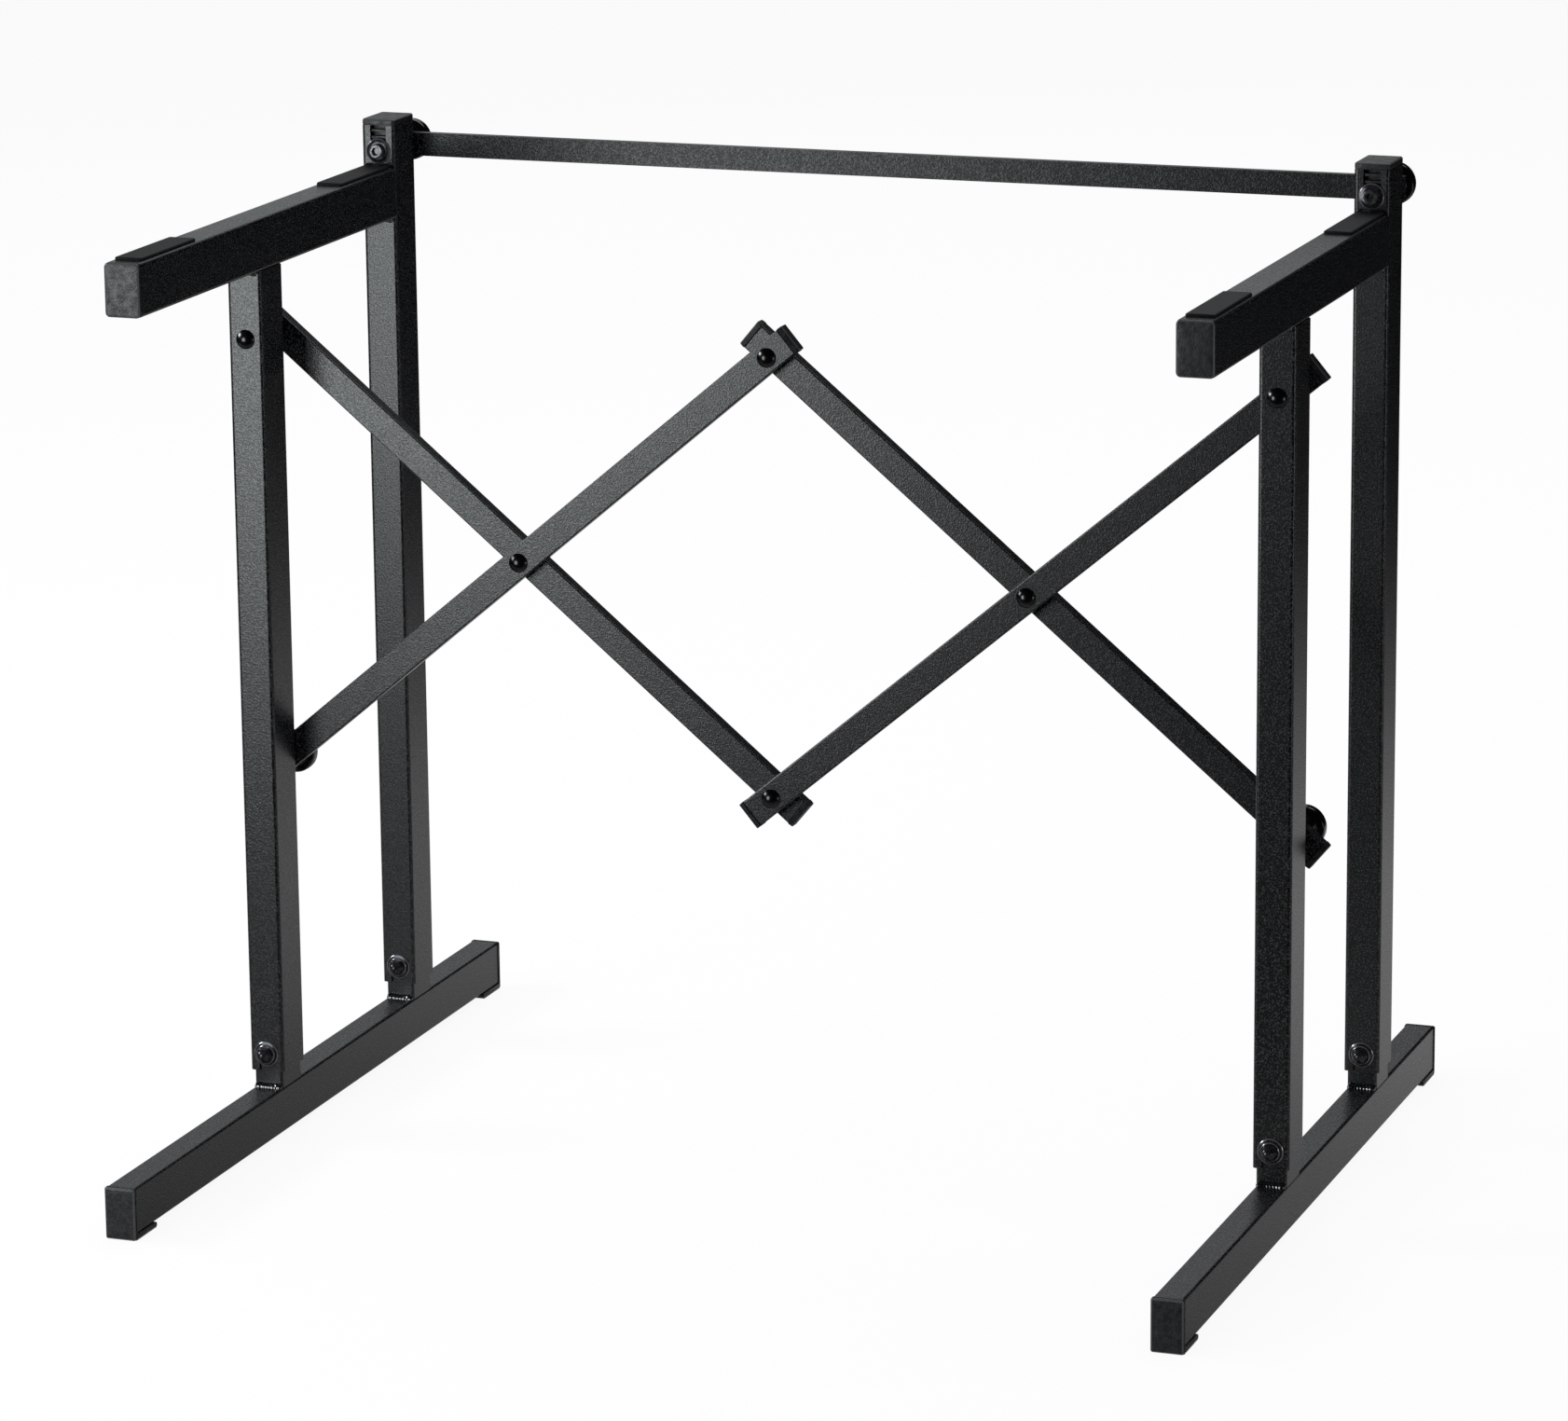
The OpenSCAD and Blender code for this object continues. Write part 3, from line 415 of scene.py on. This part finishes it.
CORNER_STEPS, LEAST_CORNER = 5, 0.3 * MM
ROUND_SHARE = 0.45  # most of a short edge that one rounded corner takes
GLINT_FROM, GLINT_TO = 0.45, 4.0  # a band gets the painted edge highlight when its run is between these times its rise


def mm(points):
    """Points given in millimetres, in metres."""
    return [tuple(value * MM for value in point) for point in points]


def softened(profile, radii, steps=3):
    """Profile with the corners between its ends rounded, by one radius or by one for each, in mm."""
    points = [Vector(point) for point in profile]
    radii = radii if isinstance(radii, (list, tuple)) else [radii] * (len(points) - 2)
    soft = [points[0]]
    for radius, before, corner, after in zip(radii, points, points[1:], points[2:]):
        back, ahead = before - corner, after - corner
        start = corner + back.normalized() * min(radius * MM, back.length * ROUND_SHARE)
        stop = corner + ahead.normalized() * min(radius * MM, ahead.length * ROUND_SHARE)
        for k in range(steps + 1):
            t = k / steps
            soft.append(start * (1 - t) ** 2 + corner * 2 * t * (1 - t) + stop * t ** 2)
    return [tuple(point) for point in soft + points[-1:]]


def seat(origin, across, along, out):
    """Function that puts (x, y, height) down from origin in three directions."""
    origin, across, along, out = Vector(origin), Vector(across), Vector(along), Vector(out)
    return lambda x, y, height: origin + across * x + along * y + out * height


def round_corners(corners, radii):
    """Outline whose corners, given counter-clockwise, are rounded by their radii."""
    outline = []
    for i, corner in enumerate(corners):
        corner = Vector(corner)
        back = (Vector(corners[i - 1]) - corner).normalized()
        ahead = (Vector(corners[(i + 1) % len(corners)]) - corner).normalized()
        start, stop = corner + back * radii[i], corner + ahead * radii[i]
        centre = start + stop - corner
        for k in range(CORNER_STEPS + 1):
            turn = math.pi / 2 * k / CORNER_STEPS
            part_way = centre + (start - centre) * math.cos(turn)
            outline.append(tuple(part_way + (stop - centre) * math.sin(turn)))
    return outline


def leaning(profile):
    """Bands of a profile that lean between its side and its end, where a highlight is painted."""
    bands = []
    for band, (near, far) in enumerate(zip(profile, profile[1:])):
        run, rise = abs(far[0] - near[0]), abs(far[-1] - near[-1])
        if GLINT_FROM * rise < run < GLINT_TO * rise:
            bands.append(band)
    return bands


def stack(bm, width, depth, corner, profile, put):
    """Block with round corners whose outline follows a profile of (inset, height) or (x, y, height)."""
    rings = []
    for step in profile:
        x, y, height = step if len(step) == 3 else (step[0], step[0], step[1])
        w, d, radius = width / 2 - x, depth / 2 - y, max(corner - max(x, y), LEAST_CORNER)
        outline = round_corners([(-w, -d), (w, -d), (w, d), (-w, d)], [radius] * 4)
        rings.append([put(a, b, height) for a, b in outline])
    skin_rings(bm, rings, leaning(profile))


FOOT_PLATE_T, FOOT_CORNER, FOOT_LIP = 4.0 * MM, 1.5 * MM, 0.1 * MM
FOOT_PLATE = mm([(0, 0), (0, 0.9), (1.2, 0.9), (1.2, 1.9), (0, 1.9), (0, 2.8), (1.1, 3.86), (5, 4)])
FOOT_PLATE = softened(FOOT_PLATE, [0.2, 0.1, 0.1, 0.2, 0.3, 0.3])
SOLE_T, SOLE_LEN, SOLE_ROOT, SOLE_GAP = 4.0 * MM, 34.0 * MM, 1.5 * MM, 0.02 * MM
SOLE_END, SOLE_EDGE = 1.9 * MM, mm([(0.35, 0), (0.1, 0.08), (0, 0.3)])  # inset and way in from each side
FOOT_PLUG_W, FOOT_PLUG_D = 14.8 * MM, 25.8 * MM
PLUG_LEN, PLUG_ROOT, PLUG_CORNER = 14 * MM, 0.2 * MM, 1 * MM
for side in SIDES:
    tube_low, tube_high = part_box(side + "_foot_tube")
    for end, sign in (("front", -1), ("rear", 1)):
        node = f"{side}_foot_cap_{end}"
        low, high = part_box(node)
        middle, width = (low.x + high.x) / 2, high.x - low.x
        root = (low.y if sign < 0 else high.y) - sign * FOOT_PLATE_T
        tall = tube_high.z + FOOT_LIP
        plate = seat((middle, root, tall / 2), RIGHT, UP, (0, sign, 0))
        bm = bmesh.new()
        stack(bm, width, tall, FOOT_CORNER, FOOT_PLATE, plate)
        # The sole's outline, seen from the side, is drawn across the foot from one soft edge to the other.
        reach, under = SOLE_LEN - FOOT_PLATE_T, SOLE_T - SOLE_GAP
        sole = []
        for draw, x in SOLE_EDGE + [(draw, width - x) for draw, x in reversed(SOLE_EDGE)]:
            near, far, floor, top = -SOLE_ROOT, reach - draw, draw, under - draw
            radii = [LEAST_CORNER, SOLE_END - draw, SOLE_END - draw, LEAST_CORNER]
            outline = round_corners([(near, floor), (far, floor), (far, top), (near, top)], radii)
            sole.append([Vector((low.x + x, root - sign * y, z)) for y, z in outline])
        skin_rings(bm, sole)
        plug = seat((middle, root, (tube_low.z + tube_high.z) / 2), RIGHT, UP, (0, -sign, 0))
        stack(bm, FOOT_PLUG_W, FOOT_PLUG_D, PLUG_CORNER, [(0, -PLUG_ROOT), (0, PLUG_LEN)], plug)
        cap = new_piece(f"{node}_moulding", bm, nylon, side + "_foot", crease=32)
        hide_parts(node)

# Arm caps and top caps
# Push-in polyamide caps close the front of each arm and the top of each rear post. The ribs of a top
# cap's plug show in the open notch of the post.
ARM_CAP_T, ARM_CAP_CORNER = 4.0 * MM, 3.0 * MM
ARM_CAP = mm([(0.5, 0), (0.5, 0.5), (0, 0.5), (0, 3.0), (0.9, 3.88), (6, 4)])
ARM_CAP = softened(ARM_CAP, [0.1, 0.2, 0.35, 0.35])
TOP_CAP_T, TOP_CAP_CORNER = 4.5 * MM, 2.6 * MM
TOP_CAP = mm([(0.5, 0), (0.5, 0.5), (0, 0.5), (0, 3.6), (0.9, 4.46), (6, 4.5)])
TOP_CAP = softened(TOP_CAP, [0.1, 0.2, 0.3, 0.3])
PLUG_W, PLUG_D, TOP_PLUG_LEN, ARM_PLUG_INSET = 21.8 * MM, 32.8 * MM, 12 * MM, 1.4 * MM
RIB_TOPS, RIB_T, RIB_DEEP = (-7.8, -3.0), 1.8, 3.6  # millimetres; the core lies RIB_DEEP behind the ribs
TOP_PLUG = [(RIB_DEEP, -TOP_PLUG_LEN / MM)]
for top in RIB_TOPS:
    TOP_PLUG += [(RIB_DEEP, top - RIB_T), (0, top - RIB_T), (0, top), (RIB_DEEP, top)]
TOP_PLUG = softened(mm(TOP_PLUG + [(RIB_DEEP, PLUG_ROOT / MM)]), 0.2)

for side in SIDES:
    low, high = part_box(side + "_arm_cap")
    centre = (low + high) / 2
    put = seat((centre.x, low.y + ARM_CAP_T, centre.z), RIGHT, UP, FRONT)
    bm = bmesh.new()
    stack(bm, high.x - low.x, high.z - low.z, ARM_CAP_CORNER, ARM_CAP, put)
    stack(bm, PLUG_W, PLUG_D, PLUG_CORNER, [(ARM_PLUG_INSET, -PLUG_LEN), (ARM_PLUG_INSET, PLUG_ROOT)], put)
    cap = new_piece(f"{side}_arm_cap_moulding", bm, nylon, side + "_frame", crease=32)
    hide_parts(side + "_arm_cap")

    low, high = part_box(side + "_top_cap")
    centre = (low + high) / 2
    put = seat((centre.x, centre.y, high.z - TOP_CAP_T), RIGHT, BACK, UP)
    bm = bmesh.new()
    stack(bm, high.x - low.x, high.y - low.y, TOP_CAP_CORNER, TOP_CAP, put)
    stack(bm, PLUG_W, PLUG_D, PLUG_CORNER, TOP_PLUG, put)
    cap = new_piece(f"{side}_top_cap_moulding", bm, nylon, side + "_frame", crease=32)
    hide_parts(side + "_top_cap")

# Rest pads
# Strips of black rubber, glued on the arms where the keyboard lies. They are matt, darker than the coat
# below, with soft edges and corners and the fine grain of the sheet that they are cut from.
RUBBER_DARK, RUBBER_PALE, RUBBER_SPECKS = "#090909", "#1b1c1c", (0.35, 0.68)
RUBBER_GRAIN_MM, RUBBER_NAP_MM = 0.8, 0.12  # the real grain is about 0.3 mm, and is drawn coarser
PAD_CORNER, PAD_EDGE, PAD_ROUND_MM = 1.6 * MM, 0.7 * MM, 0.35

rubber, tree = new_material("black_sheet_rubber")
where = add(tree, "ShaderNodeTexCoord").outputs["Object"]
fine = {"Scale": 1 / (RUBBER_GRAIN_MM * MM), "Detail": 2.0}
grain = add(tree, "ShaderNodeTexNoise", fine, Vector=where).outputs["Fac"]
tone = add(tree, "ShaderNodeValToRGB", (), Fac=grain)
low, high = tone.color_ramp.elements
low.position, low.color = RUBBER_SPECKS[0], linear(RUBBER_DARK)
high.position, high.color = RUBBER_SPECKS[1], linear(RUBBER_PALE)
nap = add(tree, "ShaderNodeBump", {"Strength": 1.0, "Distance": RUBBER_NAP_MM * MM}, Height=grain)
pad_shader = add(
    tree, "ShaderNodeBsdfPrincipled", {"Roughness": 0.6, "IOR": 1.25},
    Base_Color=tone.outputs["Color"], Normal=nap.outputs["Normal"],
)
add(tree, "ShaderNodeOutputMaterial", (), Surface=pad_shader.outputs[0])

for side in SIDES:
    for end in ("front", "rear"):
        low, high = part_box(f"{side}_pad_{end}")
        centre, thick = (low + high) / 2, high.z - low.z
        profile = [(0, 0), (0, thick - PAD_EDGE), (PAD_EDGE, thick), (4 * PAD_EDGE, thick)]
        put = seat((centre.x, centre.y, low.z), RIGHT, BACK, UP)
        bm = bmesh.new()
        stack(bm, high.x - low.x, high.y - low.y, PAD_CORNER, softened(profile, PAD_ROUND_MM), put)
        pad = new_piece(f"{side}_pad_{end}_strip", bm, rubber, side + "_frame", crease=35)
        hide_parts(f"{side}_pad_{end}")

# Leg bolts and acorn nuts
# A bolt in each leg carries the post on a smooth bush in its open notch. A washer and a flanged acorn nut
# lock it. All are steel, black zinc plated: dark, smooth and shiny, with glints from the lamps on the edges.
# The sloped rims of washers and flanges are painted paler, a painted highlight.
# The first tone below is a highlight painted on sloped rims.
ZINC_GLINT, ZINC_STAIN_MM, ZINC_STAINS = "#6a6a6e", 3.0, (0.3, 0.75)


def zinc_plating(name, dark, pale, metal):
    """Plated steel between two tones, metallic by a share: smooth, stained in soft patches, a highlight
    painted on rims.
    """
    material, tree = new_material(name)
    where = add(tree, "ShaderNodeTexCoord").outputs["Object"]
    broad = {"Scale": 1 / (ZINC_STAIN_MM * MM), "Detail": 3.0}
    stain = add(tree, "ShaderNodeTexNoise", broad, Vector=where).outputs["Fac"]
    tone = add(tree, "ShaderNodeValToRGB", (), Fac=stain)
    low, high = tone.color_ramp.elements
    low.position, low.color = ZINC_STAINS[0], linear(dark)
    high.position, high.color = ZINC_STAINS[1], linear(pale)
    gloss = add(tree, "ShaderNodeMapRange", {"To Min": 0.1, "To Max": 0.22}, Value=stain)
    zinc = add(
        tree, "ShaderNodeBsdfPrincipled", {"Metallic": metal},
        Base_Color=glint_painted_colour(tree, tone, ZINC_GLINT), Roughness=gloss.outputs[0],
    )
    add(tree, "ShaderNodeOutputMaterial", (), Surface=zinc.outputs[0])
    return material


# Washers, nuts and shanks are nearly as dark as the coat. The screw heads are painted a paler steel grey,
# which stands in for the light that they catch.
plating = zinc_plating("black_zinc_plated_steel", "#18181a", "#3a3a3e", 0.6)
painted_lit_zinc = zinc_plating("zinc_plated_steel_painted_lit", "#1e1e20", "#58585b", 0.5)

TURN_STEPS = 60
TURNS = [2 * math.pi * k / TURN_STEPS for k in range(TURN_STEPS)]
AXIS_R = 0.05  # millimetres that a turned skin stops short of its axis


def around(put, radii, height):
    """Ring of points at a height, with a radius for each turn."""
    return [put(r * math.cos(t), r * math.sin(t), height) for r, t in zip(radii, TURNS)]


def turned(bm, profile, put, glint_bands=()):
    """Closed skin over a (radius, height) profile turned about its axis. Bands for a painted edge highlight
    are marked.
    """
    skin_rings(bm, [around(put, [radius] * TURN_STEPS, height) for radius, height in profile], glint_bands)


def six_sided(flats, turn):
    """Radius of a hexagon at a turn."""
    return flats / 2 / math.cos(turn % (math.pi / 3) - math.pi / 6)


WASHER_T = 1.6
WASHER = mm([(AXIS_R, 0), (9, 0), (9, 0.6), (8.3, 1.2), (6, WASHER_T), (AXIS_R, WASHER_T)])
WASHER = softened(WASHER, [0.3, 0.1, 0.1, 0.3])
FLANGE = mm([(AXIS_R, 1.5), (6.8, 1.5), (6.8, 2.1), (6.2, 2.7), (AXIS_R, 2.9)])
FLANGE = softened(FLANGE, 0.1)
NUT_FLATS, NUT_LOW, NUT_TURNED, NUT_TOP = 10 * MM, 2.7 * MM, 5.65 * MM, 6.1 * MM
NUT_RING_STEPS = 4
DOME_R, DOME_SINK, DOME_TOP, DOME_STEPS = 4.7 * MM, 0.1 * MM, 10.4 * MM, 14
for side in SIDES:
    finish_cad(plating, side + "_leg_bolt_front", side + "_leg_bolt_rear")
    for end in ("front", "rear"):
        node = f"{side}_leg_nut_{end}"
        low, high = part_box(node)
        centre = (low + high) / 2
        put = seat((centre.x, high.y, centre.z), RIGHT, UP, FRONT)
        bm = bmesh.new()
        turned(bm, WASHER, put, leaning(WASHER))
        turned(bm, FLANGE, put, leaning(FLANGE))
        # The hexagon's corners are turned off in a cone, so that its flats end in arcs under the dome.
        widest, narrowest = NUT_FLATS / 2 / math.cos(math.pi / 6), NUT_FLATS / 2
        limits = [(widest, NUT_LOW)]
        for k in range(NUT_RING_STEPS + 1):
            share = k / NUT_RING_STEPS
            radius = widest + (narrowest - widest) * share
            limits.append((radius, NUT_TURNED + (NUT_TOP - NUT_TURNED) * share))
        hexagon = []
        for limit, height in limits:
            radii = [min(six_sided(NUT_FLATS, t), limit) for t in TURNS]
            hexagon.append(around(put, radii, height))
        skin_rings(bm, hexagon)
        arc = [math.pi / 2 * k / DOME_STEPS for k in range(DOME_STEPS)]
        dome = [(DOME_R, NUT_TOP - DOME_SINK)]
        dome += [(DOME_R * math.cos(t), NUT_TOP + (DOME_TOP - NUT_TOP) * math.sin(t)) for t in arc]
        turned(bm, dome + [(AXIS_R * MM, DOME_TOP)], put)
        nut = new_piece(f"{node}_forged", bm, plating, side + "_foot", crease=30)
        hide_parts(node)

# Scissor rivets
# Steel rivets with a low domed head join the four bars and hang the two outer bars on the posts. They are
# stoved with smooth black enamel: a broad soft glow and a small sharp glint stand in each head.
ENAMEL_COLOUR, ENAMEL_WAVE_MM, ENAMEL_RUN_MM = "#040404", 2.5, 0.1
enamel, tree = new_material("black_stoved_enamel")
where = add(tree, "ShaderNodeTexCoord").outputs["Object"]
broad = {"Scale": 1 / (ENAMEL_WAVE_MM * MM), "Detail": 2.0}
waves = add(tree, "ShaderNodeTexNoise", broad, Vector=where).outputs["Fac"]
runs = add(tree, "ShaderNodeBump", {"Strength": 0.12, "Distance": ENAMEL_RUN_MM * MM}, Height=waves)
gloss = add(tree, "ShaderNodeMapRange", {"To Min": 0.16, "To Max": 0.26}, Value=waves)
shell = add(
    tree, "ShaderNodeBsdfPrincipled", {"Base Color": linear(ENAMEL_COLOUR), "IOR": 1.5},
    Roughness=gloss.outputs[0], Normal=runs.outputs["Normal"],
)
add(tree, "ShaderNodeOutputMaterial", (), Surface=shell.outputs[0])

RIVET_R, RIVET_H, RIVET_RIM, HEAD_BEVEL, HEAD_STEPS = 6.7 * MM, 4.0 * MM, 0.5 * MM, 0.25 * MM, 14
PIN_R, SPACER_R, TAIL_R, TAIL_H, TAIL_ROUND_MM = 4.0 * MM, 7.5 * MM, 6.2 * MM, 2.5 * MM, 1.2
rivets = {  # rivet: the piece under its head, and the piece in front of its tail
    "left_rivet": ("left_post_front", "bar_ul"),
    "right_rivet": ("right_post_front", "bar_ur"),
    "rivet_mid_upper": ("bar_ll", "bar_lr"),
    "rivet_mid_lower": ("bar_ur", "bar_ul"),
    "rivet_cross_left": ("bar_ll", "bar_ul"),
    "rivet_cross_right": ("bar_ur", "bar_lr"),
}
bodies = frame["record"]["behaviour"]["bodies"]


def body_of(node):
    """Body that a node belongs to."""
    return next(name for name, members in bodies.items() if node in members)


for node, (first, second) in rivets.items():
    low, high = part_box(node)
    centre, head = (low + high) / 2, low.y + RIVET_H
    gap_low, gap_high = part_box(first)[1].y - head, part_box(second)[0].y - head
    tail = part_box(second)[1].y - head
    ball = (RIVET_R ** 2 + (RIVET_H - RIVET_RIM) ** 2) / (2 * (RIVET_H - RIVET_RIM))
    span = math.asin(RIVET_R / ball)
    lean = [span * k / HEAD_STEPS for k in range(1, HEAD_STEPS + 1)]
    # The profile runs over the head, along the pin and the spacer between the two pieces, to the tail.
    profile = [(AXIS_R * MM, -RIVET_H)]
    profile += [(ball * math.sin(t), ball * (1 - math.cos(t)) - RIVET_H) for t in lean]
    profile += [(RIVET_R, -HEAD_BEVEL), (RIVET_R - HEAD_BEVEL, 0), (PIN_R, 0), (PIN_R, gap_low)]
    profile += [(SPACER_R, gap_low), (SPACER_R, gap_high), (PIN_R, gap_high), (PIN_R, tail), (TAIL_R, tail)]
    knocked = [(TAIL_R, tail), (TAIL_R, tail + TAIL_H), (AXIS_R * MM, tail + TAIL_H)]
    profile += softened(knocked, TAIL_ROUND_MM, 4)[1:]
    bm = bmesh.new()
    turned(bm, profile, seat((centre.x, head, centre.z), RIGHT, UP, BACK))
    rivet = new_piece(f"{node}_headed", bm, enamel, body_of(node), crease=35)
    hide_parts(node)

# Scissor bar caps
# Small polyamide caps close both ends of each bar. A groove parts them from the tube, and only their
# front and back edges slope off, so that the end stays square in the picture and shows two bands.
BAR_TAIL = 17.4 * MM
BAR_CAP_W, BAR_CAP_D, BAR_CAP_CORNER = 20.6 * MM, 10.6 * MM, 0.9 * MM
BAR_CAP = [(0.1, 1.3, 0), (0.1, 1.3, 1.1), (0, 0.1, 1.1), (0.15, 1.2, 4.2), (0.5, 1.7, 4.8), (2, 3, 4.8)]
BAR_CAP = softened(mm(BAR_CAP), [0.05, 0.1, 0.2, 0.2])
BAR_PLUG_W, BAR_PLUG_D, BAR_PLUG_LEN = 15 * MM, 5 * MM, 10 * MM


def axis_of(node):
    """X and Z of a rivet or bolt that runs front to back."""
    low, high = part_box(node)
    return Vector(((low.x + high.x) / 2, 0, (low.z + high.z) / 2))


bar_ends = {  # bar: its pivot at the post, and its pivot at the middle
    "bar_ul": ("left_rivet", "rivet_mid_lower"),
    "bar_ll": ("left_slide_bolt", "rivet_mid_upper"),
    "bar_lr": ("right_slide_bolt", "rivet_mid_upper"),
    "bar_ur": ("right_rivet", "rivet_mid_lower"),
}
for bar, (post_end, mid_end) in bar_ends.items():
    low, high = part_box(bar)
    depth = Vector((0, (low.y + high.y) / 2, 0))
    pivots = {"post": axis_of(post_end), "mid": axis_of(mid_end)}
    for end, other in (("post", "mid"), ("mid", "post")):
        node = f"cap_{bar[4:]}_{end}"
        out = (pivots[end] - pivots[other]).normalized()
        put = seat(pivots[end] + out * BAR_TAIL + depth, (-out.z, 0, out.x), BACK, out)
        bm = bmesh.new()
        stack(bm, BAR_CAP_W, BAR_CAP_D, BAR_CAP_CORNER, BAR_CAP, put)
        stack(bm, BAR_PLUG_W, BAR_PLUG_D, BAR_CAP_CORNER, [(0, -BAR_PLUG_LEN), (0, PLUG_ROOT)], put)
        cap = new_piece(f"{node}_moulding", bm, dull_nylon, body_of(bar), crease=28)
        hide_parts(node)

# Slide bolts and knobs
# The lower end of each outer bar slides in its post on a bolt, and a knob of black phenolic resin clamps it:
# a thick disc with round edges on a neck, with a recess in its face inside a raised border. It is hard and
# polished, and mirrors the studio in slow waves.
KNOB = [(AXIS_R, 0), (9.5, 0), (9.5, 10), (14.8, 11.2), (14.8, 19), (11, 19), (10.4, 17.8), (AXIS_R, 17.8)]
KNOB = softened(mm(KNOB), [0.5, 0.8, 1.6, 1.6, 0.4, 0.5], 4)
RESIN_COLOUR, RESIN_FLOW_MM, RESIN_SAG_MM = "#060606", 4.0, 0.1
finish_cad(plating, "left_slide_bolt", "right_slide_bolt")

phenolic, tree = new_material("black_phenolic_resin")
where = add(tree, "ShaderNodeTexCoord").outputs["Object"]
broad = {"Scale": 1 / (RESIN_FLOW_MM * MM), "Detail": 2.0}
flow = add(tree, "ShaderNodeTexNoise", broad, Vector=where).outputs["Fac"]
sag = add(tree, "ShaderNodeBump", {"Strength": 0.3, "Distance": RESIN_SAG_MM * MM}, Height=flow)
gloss = add(tree, "ShaderNodeMapRange", {"To Min": 0.12, "To Max": 0.24}, Value=flow)
resin = add(
    tree, "ShaderNodeBsdfPrincipled", {"Base Color": linear(RESIN_COLOUR), "IOR": 1.55},
    Roughness=gloss.outputs[0], Normal=sag.outputs["Normal"],
)
add(tree, "ShaderNodeOutputMaterial", (), Surface=resin.outputs[0])


def turned_knob(node):
    """Knob on the front end of its CAD node."""
    low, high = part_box(node)
    centre = (low + high) / 2
    bm = bmesh.new()
    turned(bm, KNOB, seat((centre.x, low.y, centre.z), RIGHT, UP, BACK))
    knob = new_piece(f"{node}_turned", bm, phenolic, node, crease=35)
    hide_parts(node)


for side in SIDES:
    turned_knob(side + "_slide_knob")

# Brace bolts and knobs
# The flat brace hangs on a bolt behind each rear post and is clamped by a knob. In front of the post each
# bolt has a washer and a round head with a hexagon socket, black zinc plated.
HEAD_H = 4.0 * MM
HEAD = softened(mm([(5.2, 1.5), (5.2, 5.6), (3.2, 5.6)]), 0.6)
SOCKET_FLATS = 5.0 * MM
SOCKET = ((1.12, 5.6 * MM), (1.0, 5.25 * MM), (1.0, 3.0 * MM))  # share of the flats, and height
SHIM_T, BRACE_BOLT_R, SHIM_R, WASHER_AIR = 0.6 * MM, 3.0 * MM, 7.5 * MM, 0.1 * MM
for side in SIDES:
    turned_knob(side + "_brace_knob")
    node = side + "_brace_bolt"
    low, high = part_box(node)
    centre = (low + high) / 2
    face = low.y + HEAD_H + WASHER_T * MM
    put = seat((centre.x, face, centre.z), RIGHT, UP, FRONT)
    # The head's skin runs over its rim and down into the socket.
    rings = [around(put, [radius] * TURN_STEPS, height) for radius, height in HEAD]
    for grow, height in SOCKET:
        rings.append(around(put, [six_sided(SOCKET_FLATS, t) * grow for t in TURNS], height))
    bm = bmesh.new()
    skin_rings(bm, rings)
    # The head takes the paler plating, which paints in the light that it catches.
    new_piece(f"{node}_head", bm, painted_lit_zinc, side + "_frame", crease=30)
    # The shank carries a washer in front of the post, and a shim, the brace and a washer behind it.
    bm = bmesh.new()
    turned(bm, WASHER, put, leaning(WASHER))
    shim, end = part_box(side + "_post_rear")[1].y - face, high.y - face
    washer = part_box("brace")[1].y + WASHER_AIR - face
    shank = [(AXIS_R * MM, -end), (BRACE_BOLT_R, -end)]
    for start, thick in ((washer, WASHER_T * MM), (shim, SHIM_T)):
        near, far = -start, -start - thick
        shank += [(BRACE_BOLT_R, far), (SHIM_R, far), (SHIM_R, near), (BRACE_BOLT_R, near)]
    shank += [(BRACE_BOLT_R, AXIS_R * MM), (AXIS_R * MM, AXIS_R * MM)]
    turned(bm, shank, put)
    bolt = new_piece(f"{node}_turned", bm, plating, side + "_frame", crease=30)
    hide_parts(node)
